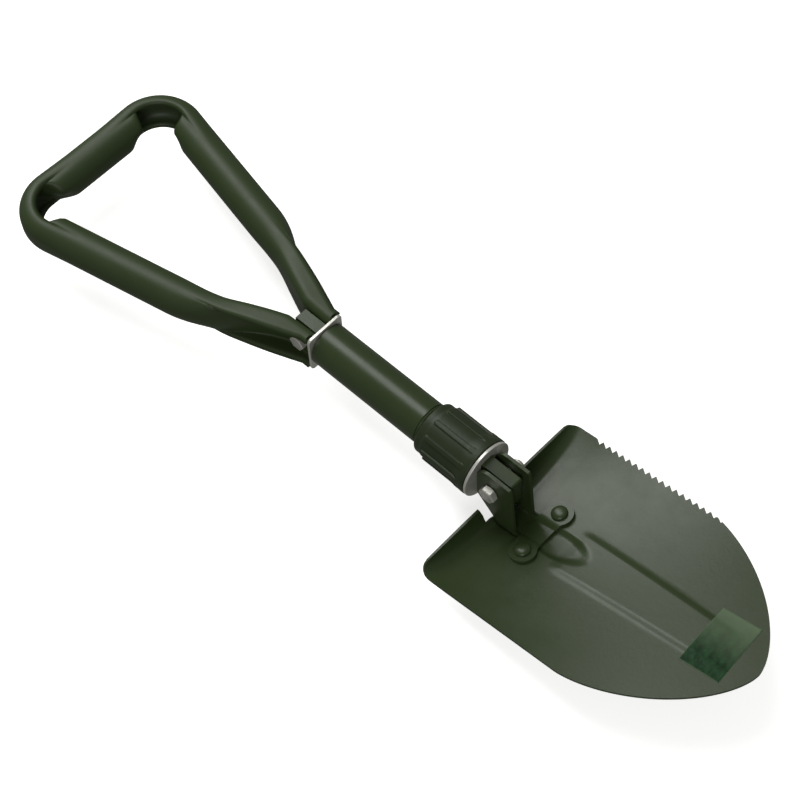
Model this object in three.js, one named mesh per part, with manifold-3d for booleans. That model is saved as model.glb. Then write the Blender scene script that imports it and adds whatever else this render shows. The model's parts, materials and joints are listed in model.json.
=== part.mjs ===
// Tri-fold camp shovel with a threaded locking collar, laid on its back and opened out straight.
// Millimetres. +X runs from the grip to the blade tip, +Y to the saw edge, +Z out of the blade's face.
// Every size below is measured from the blade hinge pin. The last lines set the part on its base.
import * as THREE from "three";
import { mergeVertices } from "three/addons/utils/BufferGeometryUtils.js";
import Module from "manifold-3d";

const wasm = await Module();
wasm.setup();

// Clearances
const SEAT = 0.3; // between pieces that touch
const SLIDE = 0.3; // around a bar or shank in its slot

// Main tube, which slides on the draw bar
const TUBE_RADIUS = 11;
const TUBE_WALL = 1.2;

// Draw bar, the flat core that carries both pivots
const PIVOT_SPAN = 123; // handle pivot to blade pivot
const BAR_WIDTH = 7;
const BAR_CLEARANCE = 0.8; // bar to the tube's bore, above and below
const BAR_HEIGHT = 2 * (TUBE_RADIUS - TUBE_WALL - BAR_CLEARANCE);
const BAR_EDGE = 0.8; // rounding along the bar
const BAR_TAIL = 6.6; // bar beyond the handle pivot
const BAR_NOSE = 9.4; // bar beyond the blade pivot

// Pressure plate on the tube's grip end
const PLATE_THICK = 1.5;
const PLATE_OVERHANG = 1; // plate beyond the tube, above and below
const PLATE_WIDTH = 2 * TUBE_RADIUS;
const PLATE_HEIGHT = 2 * (TUBE_RADIUS + PLATE_OVERHANG);
const PLATE_CORNER = 2.4;
const HANDLE_STANDOFF = 9; // handle pivot to the pressure plate
const THREAD_ENGAGED = 5.3; // tube inside the collar when locked

// Locking collar and thrust disc
const DISC_THICK = 1.5;
const BLADE_STANDOFF = 9; // blade pivot to the thrust disc
const COLLAR_LENGTH = 35.5;
const COLLAR_BORE = TUBE_RADIUS + SLIDE;
const COLLAR_ROUNDING = 1; // at the mouth
const BAND_WALL = 2.2;
const BODY_WALL = 2.6;
const FLANGE_WALL = 3.9;
const COLLAR_BAND = COLLAR_BORE + BAND_WALL; // radius of the plain band at the tube end
const COLLAR_BODY = COLLAR_BORE + BODY_WALL;
const COLLAR_FLANGE = COLLAR_BORE + FLANGE_WALL;
const DISC_INSET = 0.2; // disc rim inside the collar flange
const DISC_RADIUS = COLLAR_FLANGE - DISC_INSET;
const COLLAR_FLARE = 8; // length over which the body widens to the flange
const RIDGE_COUNT = 10;
const RIDGE_WIDTH = 2.4;
const RIDGE_RISE = 0.7;
const RIDGE_START = 8; // from the tube end of the collar
const RIDGE_END = 4.5; // from the disc end of the collar
const RIDGE_PHASE = 30; // degrees

// Fasteners
const BOLT_RADIUS = 2.5;
const HEX_FLATS = 8;
const HEAD_HEIGHT = 3.5;
const NUT_HEIGHT = 4.4;
const NUT_CROWN = 1.4; // round locking crown on a nut
const BOLT_END = 1.2; // bolt beyond its nut

// Blade
const BLADE_TIP = 147.4; // pivot to tip
const BLADE_HALF_WIDTH = 53.2;
const BLADE_SHOULDER = 78; // where the straight sides end
const TIP_POWER = 1.6; // shape of the rounded point
const BLADE_THICK = 1.3;
const EDGE_HEIGHT = -15.9; // side edges, at the pivot
const EDGE_SLOPE = 0.172; // side edges rise towards the tip
const DISH_DEPTH = 10.2;
const DISH_START = 15;
const RIB_HALF_WIDTH = 12.9;
const RIB_TAPER = 0.03;
const RIB_HEIGHT = 1.2;
const RIB_START = 38;
const RIB_END = 134;
const RIB_LEAD = 8; // length over which the rib rises
const RIB_RUNOUT = 14; // length over which it fades
const RIB_FLANK = 2.4; // width of its side slopes
const NEST_DEPTH = 2.8; // pressed hollow that nests the bracket
const NEST_HALF_WIDTH = 8.6;
const NEST_STRAIGHT = 34;
const NEST_TIP = 54;
const NEST_WALL = 0.55; // share of the hollow that its sloping wall takes
const REAR_EDGE = -2;
const FLANGE_TOP = -13;
const FLANGE_RUN = 8;
const FLANGE_SWEEP = 68; // degrees of bend
const REAR_CORNER = 6;
const NOTCH_HALF_WIDTH = 14.5;
const NOTCH_DEPTH = 9;
const NOTCH_CORNER = 3;
const TOOTH_COUNT = 19;
const TOOTH_PITCH = 3.95;
const TOOTH_DEPTH = 1.6;
const TOOTH_FLAT = 0.1; // tips ground back from the edge
const TOOTH_START = 12.4;
const TOOTH_LEAN = 0.76; // share of the pitch that the long flank takes

// Blade bracket
const EAR_THICK = 1.6;
const EAR_FACE = 7.2; // outer face of an ear from the middle
const EAR_TOP = 12.5;
const EAR_FRONT_TOP = 11.4;
const EAR_FRONT_FOOT = 14.6;
const EAR_REAR_LOW = -10.6;
const EAR_CAM_RADIUS = 9; // rear top corner, which rides on the thrust disc
const EAR_CHAMFER = 0.8;
const BRACKET_START = 5;
const BRACKET_END = 29;
const RIVET_X = 25.2;
const RIVET_Y = 13;
const LOBE_RADIUS = 6.6;
const LOBE_FILLET = 3;
const RIVET_RADIUS = 2.4;
const RIVET_HEAD_RADIUS = 4.1;
const RIVET_HEAD_HEIGHT = 2.3;
const RIVET_TAIL_RADIUS = 3.6;
const RIVET_TAIL_HEIGHT = 1.1;
const RIVET_RIM = 0.3; // straight rim under the dome

// Handle: one bent tube, flattened at both legs and collapsed inside both corners
const HANDLE_RADIUS = 9.6;
const HANDLE_WALL = 1.3;
const GRIP_REACH = 156.5; // handle pivot to the grip's middle line
const GRIP_HALF_SPAN = 50.1;
const GRIP_CORNER = 13;
const LEG_KNEE = [35, 24.3, 60]; // before the pivot, from the middle, bend radius
const LEG_END_Y = 8.8; // middle line of a leg at its end
const LEG_END_RUN = 7;
const LEG_END_BEND = 30;
const WEB_FLAT = 15; // length of a leg end that lies against the bar
const WEB_SPREAD = 0.36; // how fast the two webs part beyond it
const LIP_END = 12; // outer lips at the leg end, from the middle
const LIP_SPREAD = 0.36;
const FOLD_HALF_HEIGHT = 10.4;
const FOLD_START = 18; // fully folded up to here from the leg end
const FOLD_FADE = 76; // fully round from here
const FOLD_GAP = 0.3; // between the two walls of a flattened end
const FOLD_CORNER = 2.6;
const CORNER_WEB = 7.4; // collapsed corner: middle line to its outer web
const CORNER_ARM = 5.4;
const CORNER_LEAD = 6; // the collapse starts this far before the bend
const CORNER_FADE = 7;
const LEG_CORNER = 5; // rounded corners of a leg end, seen from the side

const discFace = -BLADE_STANDOFF;
const collarEnd = discFace - DISC_THICK - SEAT;
const collarStart = collarEnd - COLLAR_LENGTH;
const tubeEnd = collarStart + THREAD_ENGAGED;
const handlePivot = -PIVOT_SPAN;
const plateFace = handlePivot + HANDLE_STANDOFF;
const tubeStart = plateFace + PLATE_THICK + SEAT;
const shankHole = BOLT_RADIUS + SLIDE;

const OLIVE = { color: 0x2f3a26, roughness: 0.42, metalness: 0.15 };
const OLIVE_CAST = { color: 0x323c2a, roughness: 0.5, metalness: 0.15 };
const ZINC = { color: 0xc9c8bf, roughness: 0.3, metalness: 0.9 };

const clamp = (value) => Math.min(1, Math.max(0, value));
const smooth = (value) => clamp(value) ** 2 * (3 - 2 * clamp(value));

function span(start, end, steps) {
  return Array.from({ length: steps + 1 }, (_, i) => start + ((end - start) * i) / steps);
}

// ---- Solids -------------------------------------------------------------------------------------

function signedVolume(geometry) {
  const p = geometry.getAttribute("position");
  const corner = [new THREE.Vector3(), new THREE.Vector3(), new THREE.Vector3()];
  let volume = 0;
  for (let i = 0; i < geometry.index.count; i += 3) {
    corner.forEach((c, k) => c.fromBufferAttribute(p, geometry.index.getX(i + k)));
    volume += corner[0].dot(corner[1].clone().cross(corner[2])) / 6;
  }
  return volume;
}

// A closed solid whose faces point out, from any closed geometry.
function solid(geometry) {
  geometry.deleteAttribute("normal");
  geometry.deleteAttribute("uv");
  const merged = mergeVertices(geometry, 1e-4);
  const triangles = Uint32Array.from(merged.index.array);
  if (signedVolume(merged) < 0) {
    for (let i = 0; i < triangles.length; i += 3) {
      [triangles[i], triangles[i + 1]] = [triangles[i + 1], triangles[i]];
    }
  }
  const vertices = Float32Array.from(merged.getAttribute("position").array);
  return new wasm.Manifold(new wasm.Mesh({ numProp: 3, vertProperties: vertices, triVerts: triangles }));
}

function meshOf(name, body, look) {
  const data = body.getMesh();
  const geometry = new THREE.BufferGeometry();
  geometry.setAttribute("position", new THREE.BufferAttribute(data.vertProperties, 3));
  geometry.setIndex(new THREE.BufferAttribute(data.triVerts, 1));
  geometry.computeVertexNormals();
  const mesh = new THREE.Mesh(geometry, new THREE.MeshStandardMaterial(look));
  mesh.name = name;
  return mesh;
}

// A side view, drawn in X and Z, carried from low to high Y. edge rounds its two rims.
function sideProfile(shape, low, high, edge = 0) {
  const depth = high - low - 2 * edge;
  const bevel = { bevelEnabled: edge > 0, bevelSize: edge, bevelOffset: -edge, bevelThickness: edge };
  const options = { depth, steps: 1, curveSegments: 6, bevelSegments: 2, ...bevel };
  const geometry = new THREE.ExtrudeGeometry(shape, options);
  geometry.rotateX(Math.PI / 2);
  return solid(geometry.translate(0, high - edge, 0));
}

// An end view, drawn in Y and Z, carried from start to end X.
function endProfile(shape, start, end) {
  const geometry = new THREE.ExtrudeGeometry(shape, {
    depth: end - start, steps: 1, curveSegments: 6, bevelEnabled: false,
  });
  geometry.rotateY(Math.PI / 2).rotateX(Math.PI / 2);
  return solid(geometry.translate(start, 0, 0));
}

// A plan view, drawn in X and Y, tall enough to trim any sheet of the blade.
function planCutter(shape) {
  const tall = 2 * BLADE_TIP;
  const geometry = new THREE.ExtrudeGeometry(shape, { depth: tall, curveSegments: 6, bevelEnabled: false });
  return solid(geometry.translate(0, 0, -tall / 2));
}

function rodAcross(radius, low, high, x, sides = 24) {
  const geometry = new THREE.CylinderGeometry(radius, radius, high - low, sides);
  return solid(geometry.translate(x, (low + high) / 2, 0));
}

// A ring or disc about the tube's axis, from points of [x, radius].
function turned(profile, sides = 40) {
  const points = profile.map(([x, radius]) => new THREE.Vector2(radius, x));
  const geometry = new THREE.LatheGeometry(points, sides);
  return solid(geometry.rotateZ(-Math.PI / 2));
}

function roundedBox(width, height, corner) {
  const [x, y] = [width / 2, height / 2];
  const shape = new THREE.Shape();
  shape.moveTo(-x + corner, -y);
  shape.lineTo(x - corner, -y);
  shape.absarc(x - corner, -y + corner, corner, -Math.PI / 2, 0);
  shape.lineTo(x, y - corner);
  shape.absarc(x - corner, y - corner, corner, 0, Math.PI / 2);
  shape.lineTo(-x + corner, y);
  shape.absarc(-x + corner, y - corner, corner, Math.PI / 2, Math.PI);
  shape.lineTo(-x, -y + corner);
  shape.absarc(-x + corner, -y + corner, corner, Math.PI, 1.5 * Math.PI);
  return shape;
}

// A closed skin between two grids of points, front and back, with the same rows and columns.
function skin(front, back, looped = false) {
  const rows = front.length;
  const columns = front[0].length;
  const points = [...front.flat(), ...back.flat()];
  const at = (side, i, j) => side * rows * columns + i * columns + (j % columns);
  const faces = [];
  const quad = (a, b, c, d) => faces.push(a, b, c, a, c, d);
  const lastColumn = looped ? columns : columns - 1;
  for (let i = 0; i < rows - 1; i += 1) {
    for (let j = 0; j < lastColumn; j += 1) {
      quad(at(0, i, j), at(0, i + 1, j), at(0, i + 1, j + 1), at(0, i, j + 1));
      quad(at(1, i, j), at(1, i, j + 1), at(1, i + 1, j + 1), at(1, i + 1, j));
    }
  }
  for (let j = 0; j < lastColumn; j += 1) {
    quad(at(0, 0, j), at(0, 0, j + 1), at(1, 0, j + 1), at(1, 0, j));
    quad(at(0, rows - 1, j + 1), at(0, rows - 1, j), at(1, rows - 1, j), at(1, rows - 1, j + 1));
  }
  for (let i = 0; !looped && i < rows - 1; i += 1) {
    quad(at(0, i + 1, 0), at(0, i, 0), at(1, i, 0), at(1, i + 1, 0));
    quad(at(0, i, columns - 1), at(0, i + 1, columns - 1), at(1, i + 1, columns - 1), at(1, i, columns - 1));
  }
  const geometry = new THREE.BufferGeometry().setFromPoints(points);
  geometry.setIndex(faces);
  return solid(geometry);
}

// ---- Blade surface ------------------------------------------------------------------------------

function dish(x, y) {
  const along = clamp((x - DISH_START) / (BLADE_TIP - DISH_START));
  return DISH_DEPTH * (1 - along) ** 2 * (1 - (y / BLADE_HALF_WIDTH) ** 2);
}

function rib(x, y) {
  const halfWidth = RIB_HALF_WIDTH - RIB_TAPER * (x - RIB_START);
  const along = smooth((x - RIB_START) / RIB_LEAD) * smooth((RIB_END - x) / RIB_RUNOUT);
  return RIB_HEIGHT * along * smooth((halfWidth - Math.abs(y)) / RIB_FLANK + 1 / 3);
}

function nest(x, y) {
  const ahead = Math.max(0, x - NEST_STRAIGHT) / (NEST_TIP - NEST_STRAIGHT);
  return NEST_DEPTH * smooth((1 - Math.hypot(ahead, y / NEST_HALF_WIDTH)) / NEST_WALL);
}

// Height of the blade's face. The rear strip bends up into the foot flange.
function bladeFace(x, y) {
  const panel = EDGE_HEIGHT + EDGE_SLOPE * x - dish(x, y) + rib(x, y) - nest(x, y);
  const sweep = Math.sin(THREE.MathUtils.degToRad(FLANGE_SWEEP));
  const bend = sweep * clamp((REAR_EDGE + FLANGE_RUN - x) / FLANGE_RUN);
  const rise = (1 - Math.sqrt(1 - bend ** 2)) / (1 - Math.sqrt(1 - sweep ** 2));
  return panel + (FLANGE_TOP - panel) * rise;
}

function faceNormal(x, y) {
  const d = 0.05;
  const slopeX = (bladeFace(x + d, y) - bladeFace(x - d, y)) / (2 * d);
  const slopeY = (bladeFace(x, y + d) - bladeFace(x, y - d)) / (2 * d);
  return new THREE.Vector3(-slopeX, -slopeY, 1).normalize();
}

function bladeGrid() {
  const xs = [...flangeStations(), ...span(REAR_EDGE + FLANGE_RUN, BLADE_TIP + 1, 25)];
  const half = span(0, 1, 10).map((s) => (BLADE_HALF_WIDTH + 1) * s ** 1.25);
  return [xs, [...half.slice(1).reverse().map((y) => -y), ...half]];
}

// A sheet that follows the blade's face, from low to high above it.
function faceSheet(low, high) {
  const [xs, ys] = bladeGrid();
  const grid = (lift) => xs.map((x) => ys.map((y) => {
    const point = new THREE.Vector3(x, y, bladeFace(x, y));
    return point.addScaledVector(faceNormal(x, y), lift);
  }));
  return skin(grid(high), grid(low));
}

function flangeStations() {
  const steps = 5;
  const sweep = THREE.MathUtils.degToRad(FLANGE_SWEEP);
  const angles = span(sweep, 0, steps).slice(0, -1);
  return angles.map((a) => REAR_EDGE + FLANGE_RUN * (1 - Math.sin(a) / Math.sin(sweep)));
}

function bladeOutline() {
  const [rear, wide, corner] = [REAR_EDGE, BLADE_HALF_WIDTH, REAR_CORNER];
  const [inner, round] = [NOTCH_HALF_WIDTH, NOTCH_CORNER];
  const shape = new THREE.Shape();
  shape.moveTo(rear, -inner - round);
  shape.quadraticCurveTo(rear, -inner, rear + round, -inner);
  shape.lineTo(rear + NOTCH_DEPTH, -inner);
  shape.lineTo(rear + NOTCH_DEPTH, inner);
  shape.lineTo(rear + round, inner);
  shape.quadraticCurveTo(rear, inner, rear, inner + round);
  shape.lineTo(rear, wide - corner);
  shape.quadraticCurveTo(rear, wide, rear + corner, wide);
  for (const a of span(Math.PI / 2, -Math.PI / 2, 36)) {
    const along = Math.abs(Math.cos(a)) ** (2 / TIP_POWER);
    const across = Math.sign(a) * Math.abs(Math.sin(a)) ** (2 / TIP_POWER);
    shape.lineTo(BLADE_SHOULDER + (BLADE_TIP - BLADE_SHOULDER) * along, wide * across);
  }
  shape.lineTo(rear + corner, -wide);
  shape.quadraticCurveTo(rear, -wide, rear, corner - wide);
  return shape;
}

// What the saw teeth leave out of the straight edge: a long flank and then a short one.
function toothGaps() {
  const outside = BLADE_HALF_WIDTH + TOOTH_DEPTH;
  const end = TOOTH_START + TOOTH_COUNT * TOOTH_PITCH;
  const shape = new THREE.Shape();
  shape.moveTo(end, outside);
  shape.lineTo(TOOTH_START, outside);
  for (let i = 0; i < TOOTH_COUNT; i += 1) {
    const tip = TOOTH_START + i * TOOTH_PITCH;
    shape.lineTo(tip, BLADE_HALF_WIDTH - TOOTH_FLAT);
    shape.lineTo(tip + TOOTH_PITCH * TOOTH_LEAN, BLADE_HALF_WIDTH - TOOTH_DEPTH);
  }
  shape.lineTo(end, BLADE_HALF_WIDTH);
  return shape;
}

// A pin square to the blade's face at a rivet, from low to high above the face.
function facePin(profile, side) {
  const points = profile.map(([radius, lift]) => new THREE.Vector2(radius, lift));
  const geometry = new THREE.LatheGeometry(points, 18);
  const normal = faceNormal(RIVET_X, side * RIVET_Y);
  const turn = new THREE.Quaternion().setFromUnitVectors(new THREE.Vector3(0, 1, 0), normal);
  geometry.applyQuaternion(turn);
  return solid(geometry.translate(RIVET_X, side * RIVET_Y, bladeFace(RIVET_X, side * RIVET_Y)));
}

function rivetHole(side) {
  const radius = RIVET_RADIUS + SLIDE;
  return facePin([[0, -8], [radius, -8], [radius, 8], [0, 8]], side);
}

function makeBlade() {
  let body = faceSheet(-BLADE_THICK, 0)
    .intersect(planCutter(bladeOutline()))
    .subtract(planCutter(toothGaps()));
  for (const side of [-1, 1]) {
    body = body.subtract(rivetHole(side));
  }
  return meshOf("blade", body, OLIVE);
}

function earShape() {
  const rear = -BLADE_STANDOFF + SEAT;
  const round = EAR_CAM_RADIUS;
  const shape = new THREE.Shape();
  shape.moveTo(rear, EAR_REAR_LOW);
  shape.lineTo(BRACKET_START, bladeFace(BRACKET_START + 3, 0) + 1);
  shape.lineTo(EAR_FRONT_FOOT, bladeFace(EAR_FRONT_FOOT, EAR_FACE) + EAR_THICK);
  shape.lineTo(EAR_FRONT_TOP, EAR_TOP - EAR_CHAMFER);
  shape.lineTo(EAR_FRONT_TOP - EAR_CHAMFER, EAR_TOP);
  shape.lineTo(rear + round, EAR_TOP);
  shape.absarc(rear + round, EAR_TOP - round, round, Math.PI / 2, Math.PI);
  return shape;
}

function bracketOutline() {
  const shape = new THREE.Shape();
  const lobeStart = RIVET_X - LOBE_RADIUS;
  shape.moveTo(BRACKET_START, -EAR_FACE);
  shape.lineTo(lobeStart - LOBE_FILLET, -EAR_FACE);
  shape.quadraticCurveTo(lobeStart, -EAR_FACE, lobeStart, -RIVET_Y);
  shape.absarc(RIVET_X, -RIVET_Y, LOBE_RADIUS, Math.PI, 2.25 * Math.PI);
  shape.lineTo(BRACKET_END, EAR_THICK - EAR_FACE);
  shape.lineTo(BRACKET_END, EAR_FACE - EAR_THICK);
  shape.absarc(RIVET_X, RIVET_Y, LOBE_RADIUS, -0.25 * Math.PI, Math.PI);
  shape.quadraticCurveTo(lobeStart, EAR_FACE, lobeStart - LOBE_FILLET, EAR_FACE);
  shape.lineTo(BRACKET_START, EAR_FACE);
  return shape;
}

function makeBracket() {
  let body = faceSheet(SEAT, SEAT + EAR_THICK).intersect(planCutter(bracketOutline()));
  for (const side of [-1, 1]) {
    const [low, high] = side < 0 ? [-EAR_FACE, -EAR_FACE + EAR_THICK] : [EAR_FACE - EAR_THICK, EAR_FACE];
    body = body.add(sideProfile(earShape(), low, high)).subtract(rivetHole(side));
  }
  body = body.subtract(faceSheet(-9, SEAT));
  return meshOf("blade_bracket", body.subtract(rodAcross(shankHole, -20, 20, 0)), OLIVE);
}

function makeRivet(side, name) {
  const seat = SEAT + EAR_THICK + SEAT;
  const tail = -BLADE_THICK - SEAT;
  const dome = span(0, Math.PI / 2, 5).map((a) => {
    const lift = RIVET_RIM + (RIVET_HEAD_HEIGHT - RIVET_RIM) * Math.sin(a);
    return [RIVET_HEAD_RADIUS * Math.cos(a), seat + lift];
  });
  dome[dome.length - 1][0] = 0;
  const low = tail - RIVET_TAIL_HEIGHT;
  const foot = [[0, low], [RIVET_TAIL_RADIUS - RIVET_RIM, low], [RIVET_TAIL_RADIUS, low + RIVET_RIM]];
  const shank = [[RIVET_TAIL_RADIUS, tail], [RIVET_RADIUS, tail], [RIVET_RADIUS, seat]];
  const neck = [...shank, [RIVET_HEAD_RADIUS, seat]];
  return meshOf(name, facePin([...foot, ...neck, ...dome], side), OLIVE);
}

// ---- Core, sleeve and collar --------------------------------------------------------------------

function makeDrawBar() {
  const length = BAR_TAIL + PIVOT_SPAN + BAR_NOSE;
  const outline = roundedBox(length, BAR_HEIGHT, 2.5);
  const body = sideProfile(outline, -BAR_WIDTH / 2, BAR_WIDTH / 2, BAR_EDGE)
    .translate([BAR_NOSE - length / 2, 0, 0])
    .subtract(rodAcross(shankHole, -10, 10, 0))
    .subtract(rodAcross(shankHole, -10, 10, handlePivot));
  return meshOf("draw_bar", body, OLIVE);
}

function makeTube() {
  const inner = TUBE_RADIUS - TUBE_WALL;
  const ring = [[tubeStart, inner], [tubeStart, TUBE_RADIUS], [tubeEnd, TUBE_RADIUS], [tubeEnd, inner]];
  return meshOf("main_tube", turned([...ring, ring[0]], 48), OLIVE);
}

const barSlot = (start, end) => endProfile(
  roundedBox(BAR_WIDTH + 2 * SLIDE, BAR_HEIGHT + 2 * SLIDE, 0.6), start, end,
);

function makePlate() {
  const plate = roundedBox(PLATE_WIDTH, PLATE_HEIGHT, PLATE_CORNER);
  const body = endProfile(plate, plateFace, plateFace + PLATE_THICK);
  return meshOf("pressure_plate", body.subtract(barSlot(plateFace - 5, plateFace + 5)), ZINC);
}

function makeDisc() {
  const [back, front] = [discFace - DISC_THICK, discFace];
  const rim = [[back, 0], [back, DISC_RADIUS], [front, DISC_RADIUS], [front, 0]];
  return meshOf("thrust_disc", turned(rim, 48).subtract(barSlot(back - 5, front + 5)), ZINC);
}

function makeCollar() {
  const [round, ridges] = [COLLAR_ROUNDING, collarStart + RIDGE_START];
  const shell = [
    [collarStart, COLLAR_BORE], [collarStart, COLLAR_BAND - round],
    [collarStart + round / 2, COLLAR_BAND - round / 4],
    [collarStart + 2 * round, COLLAR_BAND], [ridges - round, COLLAR_BAND],
    [ridges, COLLAR_BODY], [collarEnd - COLLAR_FLARE, COLLAR_BODY + RIDGE_RISE / 2],
    [collarEnd - COLLAR_FLARE / 2, COLLAR_FLANGE - round / 2], [collarEnd - round, COLLAR_FLANGE],
    [collarEnd, COLLAR_FLANGE - round / 2], [collarEnd, COLLAR_BORE], [collarStart, COLLAR_BORE],
  ];
  let body = turned(shell, 48);
  const end = collarEnd - RIDGE_END;
  const [foot, top] = [(COLLAR_BORE + COLLAR_BODY) / 2, COLLAR_BODY + RIDGE_RISE];
  for (let i = 0; i < RIDGE_COUNT; i += 1) {
    const ridge = new THREE.BoxGeometry(end - ridges, RIDGE_WIDTH, top - foot);
    ridge.translate((ridges + end) / 2, 0, (foot + top) / 2);
    ridge.rotateX(THREE.MathUtils.degToRad(RIDGE_PHASE + (360 / RIDGE_COUNT) * i - 90));
    body = body.add(solid(ridge));
  }
  return meshOf("locking_collar", body, OLIVE_CAST);
}

// ---- Fasteners ----------------------------------------------------------------------------------

// Hex bolt across the shovel: head on the low Y side, its underside at y = under.
function makeBolt(name, x, under, tip) {
  const hex = rodAcross(HEX_FLATS / Math.sqrt(3), under - HEAD_HEIGHT, under, x, 6);
  const body = hex.add(rodAcross(BOLT_RADIUS, under - HEAD_HEIGHT / 2, tip, x, 20));
  return meshOf(name, body, ZINC);
}

function makeNut(name, x, under) {
  const top = under + NUT_HEIGHT;
  const hex = rodAcross(HEX_FLATS / Math.sqrt(3), under, top - NUT_CROWN / 2, x, 6);
  const crown = rodAcross(HEX_FLATS / 2 - SLIDE, under + 1, top, x, 20);
  const bore = rodAcross(shankHole, under - 1, top + 1, x, 20);
  return meshOf(name, hex.add(crown).subtract(bore), ZINC);
}

function makeSpacer(name, side) {
  const inner = BAR_WIDTH / 2 + SEAT;
  const outer = EAR_FACE - EAR_THICK - SEAT;
  const [low, high] = side < 0 ? [-outer, -inner] : [inner, outer];
  const ring = rodAcross(HEX_FLATS / 2 + 1, low, high, 0).subtract(rodAcross(shankHole, -20, 20, 0));
  return meshOf(name, ring, ZINC);
}

// ---- Handle -------------------------------------------------------------------------------------

// Rounds the corners of a plan route. Each corner is [x, y, radius].
function roundedRoute(corners) {
  const route = new THREE.CurvePath();
  const at = corners.map(([x, y]) => new THREE.Vector2(x, y));
  let from = at[0];
  for (let i = 1; i < at.length - 1; i += 1) {
    const back = at[i - 1].clone().sub(at[i]).normalize();
    const ahead = at[i + 1].clone().sub(at[i]).normalize();
    const half = back.angleTo(ahead) / 2;
    const reach = corners[i][2] / Math.tan(half);
    const centre = back.clone().add(ahead).setLength(corners[i][2] / Math.sin(half)).add(at[i]);
    const start = at[i].clone().addScaledVector(back, reach);
    const end = at[i].clone().addScaledVector(ahead, reach);
    const turn = back.clone().negate().cross(ahead) > 0;
    const angle = (p) => Math.atan2(p.y - centre.y, p.x - centre.x);
    route.add(new THREE.LineCurve(from, start));
    const arc = [centre.x, centre.y, corners[i][2], corners[i][2], angle(start), angle(end), !turn];
    route.add(new THREE.EllipseCurve(...arc));
    from = end;
  }
  route.add(new THREE.LineCurve(from, at[at.length - 1]));
  return route;
}

function handleRoute() {
  const grip = handlePivot - GRIP_REACH;
  const legEnd = plateFace - SEAT;
  const leg = (side) => [
    [legEnd, side * LEG_END_Y, 0],
    [legEnd - LEG_END_RUN, side * LEG_END_Y, LEG_END_BEND],
    [handlePivot - LEG_KNEE[0], side * LEG_KNEE[1], LEG_KNEE[2]],
    [grip, side * GRIP_HALF_SPAN, GRIP_CORNER],
  ];
  return roundedRoute([...leg(-1), ...leg(1).reverse()]);
}

// Middle line of a folded wall: a channel open towards +n, s from -1 to 1 round it.
function channelPoint(s, web, arm) {
  const straight = FOLD_HALF_HEIGHT - FOLD_CORNER;
  const arc = (Math.PI / 2) * FOLD_CORNER;
  const total = straight + arc + arm - FOLD_CORNER;
  const d = Math.abs(s) * total;
  const sign = Math.sign(s);
  if (d < straight) {
    return { n: web, z: sign * d, alongN: 0, alongZ: 1 };
  }
  const a = Math.min((d - straight) / FOLD_CORNER, Math.PI / 2);
  const run = Math.max(0, d - straight - arc);
  return {
    n: web + FOLD_CORNER * (1 - Math.cos(a)) + run,
    z: sign * (straight + FOLD_CORNER * Math.sin(a)),
    alongN: sign * Math.sin(a),
    alongZ: Math.cos(a),
  };
}

// Wall middle line of a tube whose side at angle 0 is pushed in onto the other side.
function foldedPoint(angle, web, arm) {
  const gap = (HANDLE_WALL + FOLD_GAP) / 2;
  const quarter = Math.PI / 2;
  const pushed = Math.abs(angle) < quarter - 1e-6;
  const tip = Math.abs(Math.abs(angle) - quarter) < 1e-6;
  const s = pushed || tip ? angle / quarter : Math.sign(angle) * (2 - Math.abs(angle) / quarter);
  const p = channelPoint(s, web, arm);
  if (tip) {
    return [p.n + gap, p.z];
  }
  const side = pushed ? gap : -gap;
  return [p.n + side * p.alongZ, p.z - side * p.alongN];
}

// Channel of a flattened leg at a distance from its end, about a middle line at y = centre.
function legChannel(from, centre) {
  const seat = BAR_WIDTH / 2 + SEAT + HANDLE_WALL + FOLD_GAP / 2;
  const web = seat + WEB_SPREAD * Math.max(0, from - WEB_FLAT);
  const lip = LIP_END + LIP_SPREAD * from - HANDLE_WALL - FOLD_GAP / 2;
  return { web: web - centre, arm: Math.max(lip - web, 2 * FOLD_CORNER) };
}

// One cross-section: how far the leg fold and the corner fold have gone at this station.
function handleSection(legFold, cornerFold, channel) {
  const count = 24;
  const middle = HANDLE_RADIUS - HANDLE_WALL / 2;
  const loop = span(-Math.PI, Math.PI, count).slice(0, -1).map((angle) => {
    const round = [middle * Math.cos(angle), middle * Math.sin(angle)];
    const leg = foldedPoint(angle, channel.web, channel.arm);
    const opposite = Math.sign(angle || 1) * (Math.PI - Math.abs(angle));
    const [n, z] = foldedPoint(opposite, -CORNER_WEB, CORNER_ARM);
    const corner = [-n, z];
    return round.map((value, k) => value + legFold * (leg[k] - value) + cornerFold * (corner[k] - value));
  });
  return loop.map(([n, z], i) => {
    const before = loop[(i + count - 1) % count];
    const after = loop[(i + 1) % count];
    const along = new THREE.Vector2(after[0] - before[0], after[1] - before[1]).normalize();
    return { n, z, outN: along.y, outZ: -along.x };
  });
}

// Where the cross-sections stand on one half of the route, close together where the wall folds.
function halfStations(cornerStart, cornerEnd) {
  const leg = [0, WEB_FLAT / 2, ...span(WEB_FLAT, FOLD_FADE, 8), (FOLD_FADE + cornerStart) / 2];
  return [...leg, ...span(cornerStart - CORNER_LEAD - 2, cornerEnd + CORNER_LEAD + 2, 10)];
}

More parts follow.
